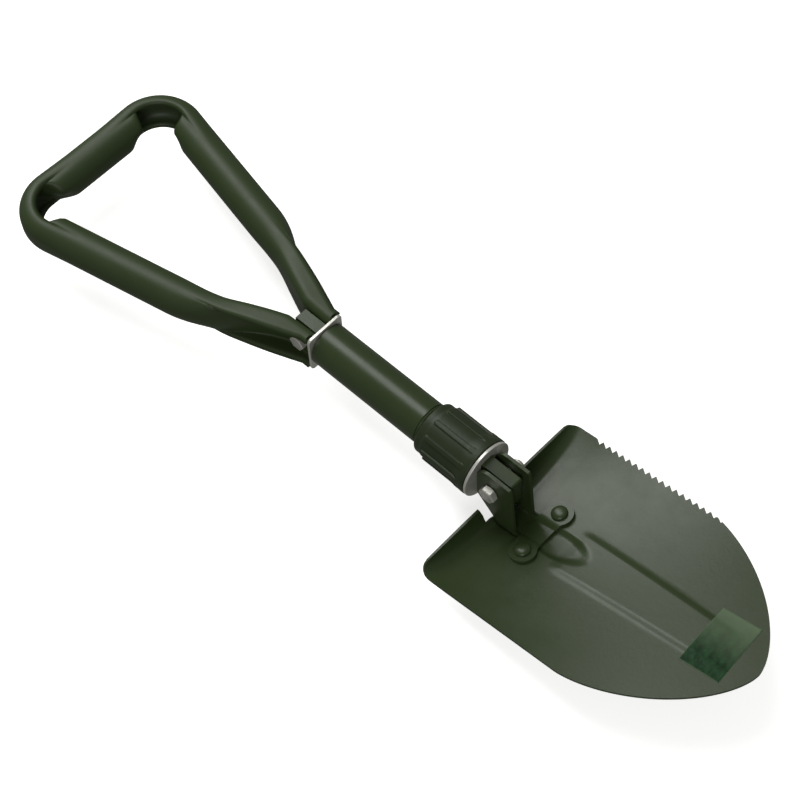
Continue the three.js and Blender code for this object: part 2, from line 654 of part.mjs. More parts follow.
function handleWall(route, side) {
  const total = route.getLength();
  const [cornerStart, cornerEnd] = route.getCurveLengths().slice(4, 6);
  const half = halfStations(cornerStart, cornerEnd);
  const stations = [...half, total / 2, ...half.slice().reverse().map((d) => total - d)];
  return stations.map((d) => {
    const from = Math.min(d, total - d);
    const point = route.getPointAt(d / total);
    const along = route.getTangentAt(d / total);
    const legFold = smooth((FOLD_FADE - from) / (FOLD_FADE - FOLD_START));
    const collapse = smooth((from - cornerStart + CORNER_LEAD) / CORNER_FADE);
    const recover = smooth((cornerEnd - from + CORNER_LEAD) / CORNER_FADE);
    const channel = legChannel(from, Math.abs(point.y));
    return handleSection(legFold, collapse * recover, channel).map((p) => {
      const n = p.n + side * p.outN * (HANDLE_WALL / 2);
      const z = p.z + side * p.outZ * (HANDLE_WALL / 2);
      return new THREE.Vector3(point.x - n * along.y, point.y + n * along.x, z);
    });
  });
}

// Side view that rounds the corners of the leg ends and leaves the rest alone.
function legEndTrim() {
  const length = HANDLE_STANDOFF + GRIP_REACH + 2 * HANDLE_RADIUS;
  const height = 2 * (FOLD_HALF_HEIGHT + HANDLE_WALL + FOLD_GAP);
  const wide = 2 * GRIP_HALF_SPAN;
  return sideProfile(roundedBox(length, height, LEG_CORNER), -wide, wide)
    .translate([plateFace - SEAT - length / 2, 0, 0]);
}

function makeHandle() {
  const route = handleRoute();
  const body = skin(handleWall(route, 1), handleWall(route, -1), true)
    .intersect(legEndTrim())
    .subtract(rodAcross(shankHole, -20, 20, handlePivot));
  return meshOf("grip_handle", body, OLIVE);
}

// ---- Assembly -----------------------------------------------------------------------------------

function handlePivotParts() {
  const web = BAR_WIDTH / 2 + SEAT + 2 * HANDLE_WALL + FOLD_GAP;
  const under = web + SEAT;
  const tip = under + NUT_HEIGHT + BOLT_END;
  return [
    makeBolt("handle_bolt", handlePivot, -under, tip),
    makeNut("handle_nut", handlePivot, under),
  ];
}

function bladePivotParts() {
  const under = EAR_FACE + SEAT;
  const tip = under + NUT_HEIGHT + BOLT_END;
  return [
    makeBolt("hinge_bolt", 0, -under, tip),
    makeNut("hinge_nut", 0, under),
    makeSpacer("hinge_spacer_left", -1),
    makeSpacer("hinge_spacer_right", 1),
  ];
}

const shovel = new THREE.Group();
shovel.add(makeDrawBar(), makeTube(), makePlate(), makeCollar(), makeDisc());
shovel.add(makeBlade(), makeBracket(), makeRivet(-1, "rivet_left"), makeRivet(1, "rivet_right"));
shovel.add(makeHandle(), ...handlePivotParts(), ...bladePivotParts());

// The origin is under the middle of the part, at the level of what it lies on.
const bounds = new THREE.Box3().setFromObject(shovel);
const middle = bounds.getCenter(new THREE.Vector3());
shovel.position.set(-middle.x, -middle.y, -bounds.min.z);

export default shovel;
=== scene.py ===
"""Tri-fold camp shovel: the finished surfaces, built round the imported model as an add-on with one panel."""
import json
import math

import bmesh
import bpy
from mathutils import Matrix, Quaternion, Vector


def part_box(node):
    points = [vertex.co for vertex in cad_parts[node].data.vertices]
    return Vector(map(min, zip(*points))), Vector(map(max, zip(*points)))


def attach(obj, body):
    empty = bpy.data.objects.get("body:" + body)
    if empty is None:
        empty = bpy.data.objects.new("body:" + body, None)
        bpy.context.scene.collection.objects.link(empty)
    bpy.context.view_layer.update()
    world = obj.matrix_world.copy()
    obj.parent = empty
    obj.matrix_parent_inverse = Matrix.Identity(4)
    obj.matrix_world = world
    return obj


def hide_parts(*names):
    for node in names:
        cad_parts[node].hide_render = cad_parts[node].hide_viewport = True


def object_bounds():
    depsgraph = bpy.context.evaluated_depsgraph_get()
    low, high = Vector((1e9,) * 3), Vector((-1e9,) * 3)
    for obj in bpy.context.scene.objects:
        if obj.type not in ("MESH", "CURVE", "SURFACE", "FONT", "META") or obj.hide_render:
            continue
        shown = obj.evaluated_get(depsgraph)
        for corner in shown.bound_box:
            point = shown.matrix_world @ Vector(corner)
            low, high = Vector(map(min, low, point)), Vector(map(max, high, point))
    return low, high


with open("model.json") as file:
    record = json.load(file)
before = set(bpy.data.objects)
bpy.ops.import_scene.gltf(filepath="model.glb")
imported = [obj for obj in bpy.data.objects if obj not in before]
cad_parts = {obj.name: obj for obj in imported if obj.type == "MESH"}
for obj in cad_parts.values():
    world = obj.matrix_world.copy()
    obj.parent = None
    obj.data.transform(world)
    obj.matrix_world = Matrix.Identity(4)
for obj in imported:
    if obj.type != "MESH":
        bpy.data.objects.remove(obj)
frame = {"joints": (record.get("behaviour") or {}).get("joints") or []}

bl_info = {
    "name": "Camp Shovel",
    "version": (1, 0, 0),
    "blender": (4, 5, 0),
    "location": "3D View > Sidebar > Shovel",
    "description": "Builds the pieces, finishes and studio of a tri-fold camp shovel",
    "category": "Add Mesh",
}

CAD_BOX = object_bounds()
MM = 0.001
WELD = 0.002 * MM
JOINT = {joint["name"]: joint for joint in frame["joints"]}
HINGE = Vector(JOINT["blade_fold"]["pos_m"])
HANDLE_PIVOT = Vector(JOINT["handle_fold"]["pos_m"])
SEAT = 0.3 * MM

# Blade surface, measured from the hinge
DISH_START = 15 * MM
EDGE_HEIGHT = -15.9 * MM
EDGE_SLOPE = 0.172
TIP_POWER = 1.6
SHOULDER = 78 * MM
RIB_HALF_WIDTH = 12.9 * MM
RIB_TAPER = 0.03
RIB_START = 38 * MM
RIB_END = 134 * MM
RIB_LEAD = 8 * MM
RIB_RUNOUT = 14 * MM
RIB_FLANK = 4 * MM
NEST_DEPTH = 1.7 * MM
NEST_HALF_WIDTH = 8.6 * MM
NEST_STRAIGHT = 34 * MM
NEST_TIP = 54 * MM
NEST_WALL = 0.42
FLANGE_TOP = -13 * MM
FLANGE_RUN = 8 * MM
FLANGE_SWEEP = math.radians(68)
REAR_CORNER = 6 * MM
NOTCH_HALF_WIDTH = 11.8 * MM
NOTCH_DEPTH = 3.4 * MM
NOTCH_CORNER = 1.2 * MM
TOOTH_COUNT = 19
TOOTH_PITCH = 3.95 * MM
TOOTH_START = 12.4 * MM
TOOTH_LEAN = 0.76
TOOTH_FADE = 6 * MM

# Bracket and rivets
EAR_THICK = 1.6 * MM
EAR_FACE = 7.2 * MM
EAR_TOP = 12.5 * MM
EAR_FRONT_TOP = 11.4 * MM
EAR_FRONT_FOOT = 14.6 * MM
EAR_REAR = -8.7 * MM
EAR_REAR_LOW = -10.6 * MM
EAR_CAM_RADIUS = 7.5 * MM
EAR_CHAMFER = 0.8 * MM
BRACKET_START = 5 * MM
BRACKET_END = 29 * MM
RIVET_X = 25.2 * MM
RIVET_Y = 13 * MM
LOBE_RADIUS = 6.6 * MM
LOBE_FILLET = 3 * MM

# Handle: one tube, folded flat at both legs and collapsed inside both corners
GRIP_REACH = 156.5 * MM
GRIP_HALF_SPAN = 50.1 * MM
GRIP_CORNER = 16 * MM
HANDLE_RADIUS = 9.6 * MM
LEG_KNEE = (35 * MM, 24.3 * MM, 60 * MM)
LEG_END_Y = 8.8 * MM
LEG_END_RUN = 7 * MM
LEG_END_BEND = 30 * MM
WEB_SEAT = 5.25 * MM
WEB_FLAT = 15 * MM
WEB_SPREAD = 0.36
LIP_END = 10.4 * MM
LIP_SPREAD = 0.36
FOLD_HALF_HEIGHT = 10.4 * MM
FOLD_START = 18 * MM
FOLD_FADE = 76 * MM
FOLD_GAP = 0.3 * MM
FOLD_CORNER = 2.6 * MM
CORNER_WEB = 7.6 * MM
CORNER_ARM = 7.0 * MM
CORNER_HALF_HEIGHT = 8.8 * MM
CORNER_FOLD = 6.6 * MM
DENT_LEAD = 4 * MM
DENT_FADE = 9 * MM
DENT_LOW_LEAD = 13 * MM
DENT_LOW_FADE = 20 * MM
CORNER_LEAD = 24 * MM
CORNER_FADE = 28 * MM
LEG_CORNER = 2 * MM

# Camera: aimed at a point measured from the hinge
CAMERA_TARGET = Vector((-63.6, -0.5, 1.9)) * MM
CAMERA_AZIMUTH = math.radians(46.71)
CAMERA_ELEVATION = math.radians(58.56)
CAMERA_ROLL = math.radians(-3.75)
CAMERA_DISTANCE = 0.950


def clamp(value):
    return min(1.0, max(0.0, value))


def smooth(value):
    t = clamp(value)
    return t * t * (3 - 2 * t)


def span(start, end, steps):
    return [start + (end - start) * i / steps for i in range(steps + 1)]


# ---- What a user would change --------------------------------------------------------------------


class ShovelSizes(bpy.types.PropertyGroup):
    """Sizes of the pressed, turned and cast details."""

    blade_thickness: bpy.props.FloatProperty(
        name="Blade thickness", description="Sheet thickness of the blade", default=1.3 * MM, unit="LENGTH")
    dish_depth: bpy.props.FloatProperty(
        name="Dish depth", description="Depth of the blade's hollow at the foot", default=10.2 * MM, unit="LENGTH")
    rib_height: bpy.props.FloatProperty(
        name="Rib height", description="Height of the wide rib along the blade", default=0.85 * MM, unit="LENGTH")
    tooth_depth: bpy.props.FloatProperty(
        name="Tooth depth", description="Depth of the saw teeth", default=2.0 * MM, unit="LENGTH")
    handle_wall: bpy.props.FloatProperty(
        name="Handle wall", description="Wall of the handle tube", default=1.3 * MM, unit="LENGTH")
    ridge_rise: bpy.props.FloatProperty(
        name="Ridge rise", description="Height of the collar's grip ridges", default=0.95 * MM, unit="LENGTH")
    edge_round: bpy.props.FloatProperty(
        name="Edge rounding", description="Rounding of cut sheet edges", default=0.2 * MM, unit="LENGTH")


class ShovelFinish(bpy.types.PropertyGroup):
    """Colours and gloss of the paint, plating and label."""

    paint: bpy.props.FloatVectorProperty(
        name="Paint", description="Olive paint on the steel", default=(0.0300, 0.0480, 0.0150),
        subtype="COLOR", min=0, max=1)
    cast_paint: bpy.props.FloatVectorProperty(
        name="Collar paint", description="Olive paint on the casting", default=(0.0240, 0.0350, 0.0145),
        subtype="COLOR", min=0, max=1)
    zinc: bpy.props.FloatVectorProperty(
        name="Zinc", description="Bright zinc plating", default=(0.74, 0.73, 0.68), subtype="COLOR", min=0, max=1)
    label: bpy.props.FloatVectorProperty(
        name="Label", description="Blank label near the blade's point", default=(0.010, 0.043, 0.013),
        subtype="COLOR", min=0, max=1)
    gloss: bpy.props.FloatProperty(
        name="Paint roughness", description="Roughness of the dry paint", default=0.33, subtype="FACTOR",
        min=0, max=1)


class StudioSettings(bpy.types.PropertyGroup):
    """Light and floor of the studio."""

    key_power: bpy.props.FloatProperty(
        name="Key light", description="Power of the large softbox", default=20.5, unit="POWER")
    fill_power: bpy.props.FloatProperty(
        name="Fill light", description="Power of the side softbox", default=8.0, unit="POWER")
    sky: bpy.props.FloatProperty(
        name="Room light", description="Strength of the light from all round", default=0.18, min=0)
    floor: bpy.props.FloatVectorProperty(
        name="Floor", description="Pale floor", default=(0.88, 0.88, 0.87), subtype="COLOR", min=0, max=1)
    lens: bpy.props.FloatProperty(
        name="Lens", description="Focal length", default=91.29, unit="CAMERA")


# ---- Mesh helpers --------------------------------------------------------------------------------


def piece(name, bm, body, stands_for, material, sharp=None):
    """Makes an object of a finished bmesh, lets it ride on a body and stand for its CAD nodes."""
    mesh = bpy.data.meshes.new(name)
    bm.to_mesh(mesh)
    bm.free()
    mesh.shade_smooth()
    if sharp is not None:
        mesh.set_sharp_from_angle(angle=math.radians(sharp))
    obj = bpy.data.objects.new(name, mesh)
    bpy.context.scene.collection.objects.link(obj)
    mesh.materials.append(material)
    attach(obj, body)
    if stands_for:
        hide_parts(*stands_for)
    return obj


def close_up(bm):
    """Merges doubles and turns every face out, on a closed shell."""
    bmesh.ops.remove_doubles(bm, verts=bm.verts, dist=WELD)
    bmesh.ops.recalc_face_normals(bm, faces=bm.faces)


def thicken(obj, thickness):
    """Gives an open sheet its thickness, away from the side that its faces look to."""
    wall = obj.modifiers.new("Wall", "SOLIDIFY")
    wall.thickness = thickness
    wall.offset = -1


def round_edges(obj, width, segments=2, angle=40):
    edge = obj.modifiers.new("Rounded edges", "BEVEL")
    edge.width = width
    edge.segments = segments
    edge.limit_method = "ANGLE"
    edge.angle_limit = math.radians(angle)
    edge.harden_normals = True


def outline_face(bm, points):
    verts = [bm.verts.new(point) for point in points]
    return bm.faces.new(verts)


def prism(bm, points, depth):
    """A closed prism: an outline carried along depth."""
    face = outline_face(bm, points)
    made = bmesh.ops.extrude_face_region(bm, geom=[face], use_keep_orig=True)
    verts = [g for g in made["geom"] if isinstance(g, bmesh.types.BMVert)]
    bmesh.ops.translate(bm, verts=verts, vec=depth)


def arc(centre, radius, start, end, steps):
    """Points of an arc in a plane, from start to end in degrees."""
    angles = [math.radians(a) for a in span(start, end, steps)]
    return [(centre[0] + radius * math.cos(a), centre[1] + radius * math.sin(a)) for a in angles]


def bend(start, control, end, steps):
    """Points of a rounded corner that leaves start and reaches end along its control point."""
    points = []
    for t in span(0, 1, steps):
        weights = ((1 - t) ** 2, 2 * t * (1 - t), t * t)
        points.append(tuple(sum(w * p[k] for w, p in zip(weights, (start, control, end))) for k in (0, 1)))
    return points


def rounded_box(width, height, corner, steps):
    """Outline of a box with round corners, middle at zero, the same number of points on each corner."""
    x, y = width / 2 - corner, height / 2 - corner
    points = arc((x, y), corner, 0, 90, steps) + arc((-x, y), corner, 90, 180, steps)
    return points + arc((-x, -y), corner, 180, 270, steps) + arc((x, -y), corner, 270, 360, steps)


def turned(profile, centre, steps):
    """A body of revolution about X, from points of (x, radius) round a closed or axis-ended profile."""
    bm = bmesh.new()
    verts = [bm.verts.new((x, centre.y, centre.z + radius)) for x, radius in profile]
    edges = [bm.edges.new(pair) for pair in zip(verts, verts[1:])]
    bmesh.ops.spin(
        bm, geom=verts + edges, cent=centre, axis=(1, 0, 0), dvec=(0, 0, 0), angle=math.tau, steps=steps,
        use_merge=True, use_duplicate=False)
    close_up(bm)
    return bm


def loft(rings):
    """A tube through rings of points, each ring extruded from the one before it."""
    bm = bmesh.new()
    ring = bmesh.ops.create_circle(bm, segments=len(rings[0]), radius=1)["verts"]
    edges = list(bm.edges)
    for vert, point in zip(ring, rings[0]):
        vert.co = point
    for points in rings[1:]:
        made = bmesh.ops.extrude_edge_only(bm, edges=edges)["geom"]
        fresh = {g for g in made if isinstance(g, bmesh.types.BMVert)}
        edges = [g for g in made if isinstance(g, bmesh.types.BMEdge) and set(g.verts) <= fresh]
        ring = [next(e.other_vert(v) for e in v.link_edges if e.other_vert(v) in fresh) for v in ring]
        for vert, point in zip(ring, points):
            vert.co = point
    return bm


# ---- Shader helpers ------------------------------------------------------------------------------


def group_tree(name, inputs, outputs):
    """An empty shader group with float, colour and vector sockets."""
    tree = bpy.data.node_groups.new(name, "ShaderNodeTree")
    kinds = {"value": "NodeSocketFloat", "colour": "NodeSocketColor", "vector": "NodeSocketVector"}
    for direction, sockets in (("INPUT", inputs), ("OUTPUT", outputs)):
        for label, kind in sockets:
            tree.interface.new_socket(name=label, in_out=direction, socket_type=kinds[kind])
    return tree, tree.nodes.new("NodeGroupInput"), tree.nodes.new("NodeGroupOutput")


def node(tree, kind, links=(), **settings):
    """A node with its settings, input values and links. A link is (input, output socket)."""
    made = tree.nodes.new(kind)
    for key, value in settings.items():
        if hasattr(made, key):
            setattr(made, key, value)
        else:
            made.inputs[key.replace("_", " ")].default_value = value
    for key, source in links:
        tree.links.new(source, made.inputs[key])
    return made


def maths(tree, operation, first, second):
    """A Math node between sockets or numbers."""
    made = tree.nodes.new("ShaderNodeMath")
    made.operation = operation
    for socket, value in zip(made.inputs, (first, second)):
        if isinstance(value, (int, float)):
            socket.default_value = value
        else:
            tree.links.new(value, socket)
    return made.outputs[0]


def ranged(tree, value, low, high, out_low=0.0, out_high=1.0):
    """Maps a value from one range to another, clamped."""
    made = node(tree, "ShaderNodeMapRange", [("Value", value)])
    for label, number in (("From Min", low), ("From Max", high), ("To Min", out_low), ("To Max", out_high)):
        made.inputs[label].default_value = number
    return made.outputs["Result"]


def blend_colour(tree, factor, first, second, mode="MIX"):
    """A colour Mix node. Colours are sockets or tuples."""
    made = tree.nodes.new("ShaderNodeMix")
    made.data_type = "RGBA"
    made.blend_type = mode
    for socket, value in zip((made.inputs[0], made.inputs[6], made.inputs[7]), (factor, first, second)):
        if isinstance(value, bpy.types.NodeSocket):
            tree.links.new(value, socket)
        elif isinstance(value, (int, float)):
            socket.default_value = value
        else:
            socket.default_value = (*value, 1)
    return made.outputs[2]


def noise(tree, place, scale, detail=3.0, rough=0.5):
    made = node(tree, "ShaderNodeTexNoise", [("Vector", place)])
    made.inputs["Scale"].default_value = scale
    made.inputs["Detail"].default_value = detail
    made.inputs["Roughness"].default_value = rough
    return made.outputs["Fac"]


def sprayed_paint_group():
    """Sprayed and baked paint: orange peel, cloudy colour and a roughness that drifts."""
    tree, given, result = group_tree(
        "sprayed_paint",
        [("Colour", "colour"), ("Roughness", "value"), ("Peel Scale", "value"), ("Peel Depth", "value"),
         ("Cloud", "value")],
        [("Colour", "colour"), ("Roughness", "value"), ("Normal", "vector")])
    place = node(tree, "ShaderNodeTexCoord").outputs["Object"]
    peel = node(tree, "ShaderNodeTexNoise", [("Vector", place), ("Scale", given.outputs["Peel Scale"])])
    peel.inputs["Detail"].default_value = 2.5
    grit = noise(tree, place, 5200, 2)
    cloud = noise(tree, place, 34, 4, 0.6)
    swing = maths(tree, "MULTIPLY", maths(tree, "SUBTRACT", cloud, 0.5), given.outputs["Cloud"])
    level = maths(tree, "ADD", swing, 1.0)
    shade = node(tree, "ShaderNodeCombineColor", [("Red", level), ("Green", level), ("Blue", level)])
    colour = blend_colour(tree, 1.0, given.outputs["Colour"], shade.outputs[0], "MULTIPLY")
    drift = ranged(tree, noise(tree, place, 85, 5, 0.65), 0.3, 0.7, -0.035, 0.045)
    rough = maths(tree, "ADD", given.outputs["Roughness"], drift)
    height = maths(tree, "ADD", peel.outputs["Fac"], maths(tree, "MULTIPLY", grit, 0.22))
    bump = node(tree, "ShaderNodeBump", [("Height", height), ("Distance", given.outputs["Peel Depth"])])
    bump.inputs["Strength"].default_value = 1.0
    tree.links.new(colour, result.inputs["Colour"])
    tree.links.new(rough, result.inputs["Roughness"])
    tree.links.new(bump.outputs["Normal"], result.inputs["Normal"])
    return tree


def edge_mask_group():
    """Mask of edges, where paint is thin and where a painted highlight is laid along them: how far a rounded normal
    leans from the true one.
    """
    tree, given, result = group_tree("edge_mask", [("Width", "value"), ("Break Up", "value")], [("Mask", "value")])
    soft = node(tree, "ShaderNodeBevel", [("Radius", given.outputs["Width"])], samples=4)
    true = node(tree, "ShaderNodeNewGeometry")
    lean = node(tree, "ShaderNodeVectorMath", operation="DOT_PRODUCT")
    tree.links.new(soft.outputs["Normal"], lean.inputs[0])
    tree.links.new(true.outputs["Normal"], lean.inputs[1])
    edge = ranged(tree, lean.outputs["Value"], 0.985, 0.86)
    place = node(tree, "ShaderNodeTexCoord").outputs["Object"]
    patches = ranged(tree, noise(tree, place, 210, 5, 0.7), 0.42, 0.62)
    kept = maths(tree, "MULTIPLY", patches, given.outputs["Break Up"])
    share = maths(tree, "SUBTRACT", 1.0, maths(tree, "SUBTRACT", given.outputs["Break Up"], kept))
    tree.links.new(maths(tree, "MULTIPLY", edge, share), result.inputs["Mask"])
    return tree


def handling_group():
    """Fine dust and rub marks from storage, mostly on faces that look up."""
    tree, given, result = group_tree("handling_marks", [("Amount", "value")], [("Dust", "value"), ("Rub", "value")])
    place = node(tree, "ShaderNodeTexCoord").outputs["Object"]
    up = node(tree, "ShaderNodeSeparateXYZ", [("Vector", node(tree, "ShaderNodeNewGeometry").outputs["Normal"])])
    specks = ranged(tree, noise(tree, place, 1900, 1), 0.70, 0.78)
    veil = ranged(tree, noise(tree, place, 26, 5, 0.6), 0.45, 0.72)
    dust = maths(tree, "MULTIPLY", maths(tree, "MAXIMUM", specks, maths(tree, "MULTIPLY", veil, 0.35)),
                 ranged(tree, up.outputs["Z"], 0.2, 0.9))
    stretched = node(tree, "ShaderNodeMapping", [("Vector", place)])
    stretched.inputs["Scale"].default_value = (30, 420, 420)
    stretched.inputs["Rotation"].default_value = (0, 0, math.radians(8))
    rub = ranged(tree, noise(tree, stretched.outputs[0], 1.0, 6, 0.7), 0.60, 0.72)
    tree.links.new(maths(tree, "MULTIPLY", dust, given.outputs["Amount"]), result.inputs["Dust"])
    tree.links.new(maths(tree, "MULTIPLY", rub, given.outputs["Amount"]), result.inputs["Rub"])
    return tree


def zinc_group():
    """Bright zinc: faint spangle, a warm stain and fine polishing lines."""
    tree, given, result = group_tree(
        "zinc_finish", [("Colour", "colour"), ("Lines", "vector")],
        [("Colour", "colour"), ("Roughness", "value"), ("Normal", "vector")])
    place = node(tree, "ShaderNodeTexCoord").outputs["Object"]
    spangle = node(tree, "ShaderNodeTexVoronoi", [("Vector", place)])
    spangle.inputs["Scale"].default_value = 900
    stain = ranged(tree, noise(tree, place, 160, 4, 0.6), 0.35, 0.7)
    warm = blend_colour(tree, maths(tree, "MULTIPLY", stain, 0.30), given.outputs["Colour"], (0.56, 0.53, 0.42))
    cell = ranged(tree, spangle.outputs["Distance"], 0.0, 0.8, 0.0, 0.10)
    colour = blend_colour(tree, cell, warm, (0.36, 0.37, 0.37))
    drawn = node(tree, "ShaderNodeMapping", [("Vector", place), ("Scale", given.outputs["Lines"])])
    lines = noise(tree, drawn.outputs[0], 1.0, 4, 0.6)
    rough = maths(tree, "ADD", ranged(tree, lines, 0.3, 0.7, 0.28, 0.42), maths(tree, "MULTIPLY", stain, 0.08))
    bump = node(tree, "ShaderNodeBump", [("Height", lines)])
    bump.inputs["Distance"].default_value = 0.012 * MM
    bump.inputs["Strength"].default_value = 1.0
    tree.links.new(colour, result.inputs["Colour"])
    tree.links.new(rough, result.inputs["Roughness"])
    tree.links.new(bump.outputs["Normal"], result.inputs["Normal"])
    return tree


GROUP_MAKERS = {
    "sprayed_paint": sprayed_paint_group,
    "edge_mask": edge_mask_group,
    "handling_marks": handling_group,
    "zinc_finish": zinc_group,
}


def use_group(tree, name):
    made = tree.nodes.new("ShaderNodeGroup")
    made.node_tree = bpy.data.node_groups.get(name) or GROUP_MAKERS[name]()
    return made


def new_material(name):
    """An empty node material and its Principled shader."""
    material = bpy.data.materials.new(name)
    material.use_nodes = True
    tree = material.node_tree
    shader = next(n for n in tree.nodes if n.type == "BSDF_PRINCIPLED")
    return material, tree, shader


def paint_material(name, colour, roughness, peel_scale, peel_depth, cloud=0.16, wear_and_edge_highlight=0.5, shine=0.42):
    """Olive paint, shared by the pressed, drawn and cast pieces with their own peel, and their own lighter edges: thin
    paint there and a painted edge highlight.
    """
    found = bpy.data.materials.get(name)
    if found:
        return found
    material, tree, shader = new_material(name)
    paint = use_group(tree, "sprayed_paint")
    paint.inputs["Colour"].default_value = (*colour, 1)
    paint.inputs["Roughness"].default_value = roughness
    paint.inputs["Peel Scale"].default_value = peel_scale
    paint.inputs["Peel Depth"].default_value = peel_depth
    paint.inputs["Cloud"].default_value = cloud
    edge = use_group(tree, "edge_mask")
    edge.inputs["Width"].default_value = 0.35 * MM
    edge.inputs["Break Up"].default_value = 0.6
    marks = use_group(tree, "handling_marks")
    marks.inputs["Amount"].default_value = 0.5
    # Lighter edges: partly thin paint, partly a painted highlight where the edges catch the light.
    thin_paint_and_highlight = maths(tree, "MULTIPLY", edge.outputs["Mask"], wear_and_edge_highlight)
    worn_and_highlit_edges = blend_colour(tree, thin_paint_and_highlight, paint.outputs["Colour"], (0.115, 0.130, 0.100))
    dusty = blend_colour(tree, maths(tree, "MULTIPLY", marks.outputs["Dust"], 0.08), worn_and_highlit_edges, (0.20, 0.21, 0.18))
    rough = maths(tree, "ADD", paint.outputs["Roughness"], maths(tree, "MULTIPLY", marks.outputs["Rub"], 0.10))
    tree.links.new(dusty, shader.inputs["Base Color"])
    tree.links.new(rough, shader.inputs["Roughness"])
    tree.links.new(paint.outputs["Normal"], shader.inputs["Normal"])
    shader.inputs["IOR"].default_value = 1.5
    shader.inputs["Specular IOR Level"].default_value = shine
    return material


def sheet_paint():
    finish = bpy.context.scene.shovel_finish
    return paint_material("olive_paint_sheet", finish.paint, finish.gloss, 620, 0.030 * MM)


def tube_paint():
    finish = bpy.context.scene.shovel_finish
    return paint_material("olive_paint_tube", finish.paint, finish.gloss - 0.02, 520, 0.026 * MM)


def handle_paint():
    finish = bpy.context.scene.shovel_finish
    return paint_material("olive_paint_handle", finish.paint, finish.gloss + 0.13, 520, 0.026 * MM, shine=0.34)


def cast_paint():
    finish = bpy.context.scene.shovel_finish
    # The casting's edges are lightened more: thin paint and painted edge highlight.
    return paint_material(
        "olive_paint_casting", finish.cast_paint, finish.gloss + 0.09, 1150, 0.055 * MM, cloud=0.24, wear_and_edge_highlight=0.7,
        shine=0.3)


def zinc_plate():
    """Plating on the plate, the disc and the fasteners."""
    found = bpy.data.materials.get("zinc_plating")
    if found:
        return found
    material, tree, shader = new_material("zinc_plating")
    zinc = use_group(tree, "zinc_finish")
    zinc.inputs["Colour"].default_value = (*bpy.context.scene.shovel_finish.zinc, 1)
    zinc.inputs["Lines"].default_value = (900, 2600, 260)
    marks = use_group(tree, "handling_marks")
    marks.inputs["Amount"].default_value = 0.6
    dull = maths(tree, "ADD", zinc.outputs["Roughness"], maths(tree, "MULTIPLY", marks.outputs["Rub"], 0.15))
    tree.links.new(zinc.outputs["Colour"], shader.inputs["Base Color"])
    tree.links.new(dull, shader.inputs["Roughness"])
    tree.links.new(zinc.outputs["Normal"], shader.inputs["Normal"])
    shader.inputs["Metallic"].default_value = 0.6
    return material


def label_film():
    """Blank green label: mottled ink on a thin satin film with a pale cut edge, lightened towards one side by a
    painted sheen.
    """
    material, tree, shader = new_material("label_film")
    place = node(tree, "ShaderNodeTexCoord").outputs["UV"]
    flat = node(tree, "ShaderNodeSeparateXYZ", [("Vector", place)])
    blotch = ranged(tree, noise(tree, place, 5.5, 6, 0.68), 0.38, 0.66)
    colour = bpy.context.scene.shovel_finish.label
    inked = blend_colour(tree, blotch, [0.55 * c for c in colour], [1.55 * c for c in colour])
    # Painted sheen: the label is made lighter and greyer towards its +Y side, where the softbox's sheen falls on the
    # blade.
    painted_sheen_side = blend_colour(tree, ranged(tree, flat.outputs["Y"], 0.25, 1.0, 0.0, 0.85), inked, (0.135, 0.185, 0.108))
    sides = [maths(tree, "ABSOLUTE", maths(tree, "SUBTRACT", flat.outputs[axis], 0.5), 0) for axis in ("X", "Y")]
    rim = ranged(tree, maths(tree, "MAXIMUM", *sides), 0.482, 0.492, 0.0, 0.6)
    edged = blend_colour(tree, rim, painted_sheen_side, (0.13, 0.19, 0.12))
    grain = noise(tree, node(tree, "ShaderNodeTexCoord").outputs["Object"], 2400, 3)
    bump = node(tree, "ShaderNodeBump", [("Height", grain)])
    bump.inputs["Distance"].default_value = 0.02 * MM
    tree.links.new(edged, shader.inputs["Base Color"])
    tree.links.new(ranged(tree, blotch, 0, 1, 0.55, 0.40), shader.inputs["Roughness"])
    shader.inputs["Specular IOR Level"].default_value = 0.12
    tree.links.new(bump.outputs["Normal"], shader.inputs["Normal"])
    return material


# ---- Blade surface -------------------------------------------------------------------------------


def blade_sizes():
    """Rear edge, tip and half width of the blade, from the hinge. The sloping sheet's underside leans past its
    face at the tip, so the face stops short of the box by that much."""
    low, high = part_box("blade")
    lean = bpy.context.scene.shovel_sizes.blade_thickness * EDGE_SLOPE / math.hypot(1, EDGE_SLOPE)
    return low.x - HINGE.x, high.x - HINGE.x - lean, -low.y


def face_height(x, y):
    """Height of the blade's face above the hinge. The rear strip bends up into the foot flange."""
    sizes = bpy.context.scene.shovel_sizes
    rear, tip, wide = blade_sizes_cached()
    along = clamp((x - DISH_START) / (tip - DISH_START))
    dish = sizes.dish_depth * (1 - along) ** 2 * (1 - (y / wide) ** 2)
    rib_half = RIB_HALF_WIDTH - RIB_TAPER * (x - RIB_START)
    rib = sizes.rib_height * smooth((x - RIB_START) / RIB_LEAD) * smooth((RIB_END - x) / RIB_RUNOUT)
    rib *= smooth((rib_half - abs(y)) / RIB_FLANK + 1 / 3)
    ahead = max(0.0, x - NEST_STRAIGHT) / (NEST_TIP - NEST_STRAIGHT)
    nest = NEST_DEPTH * smooth((1 - math.hypot(ahead, y / NEST_HALF_WIDTH)) / NEST_WALL)
    panel = EDGE_HEIGHT + EDGE_SLOPE * x - dish + rib - nest
    full = math.sin(FLANGE_SWEEP)
    turn = full * clamp((rear + FLANGE_RUN - x) / FLANGE_RUN)
    rise = (1 - math.sqrt(1 - turn ** 2)) / (1 - math.sqrt(1 - full ** 2))
    return panel + (FLANGE_TOP - panel) * rise


_blade = {}


def blade_sizes_cached():
    if not _blade:
        _blade["sizes"] = blade_sizes()
    return _blade["sizes"]


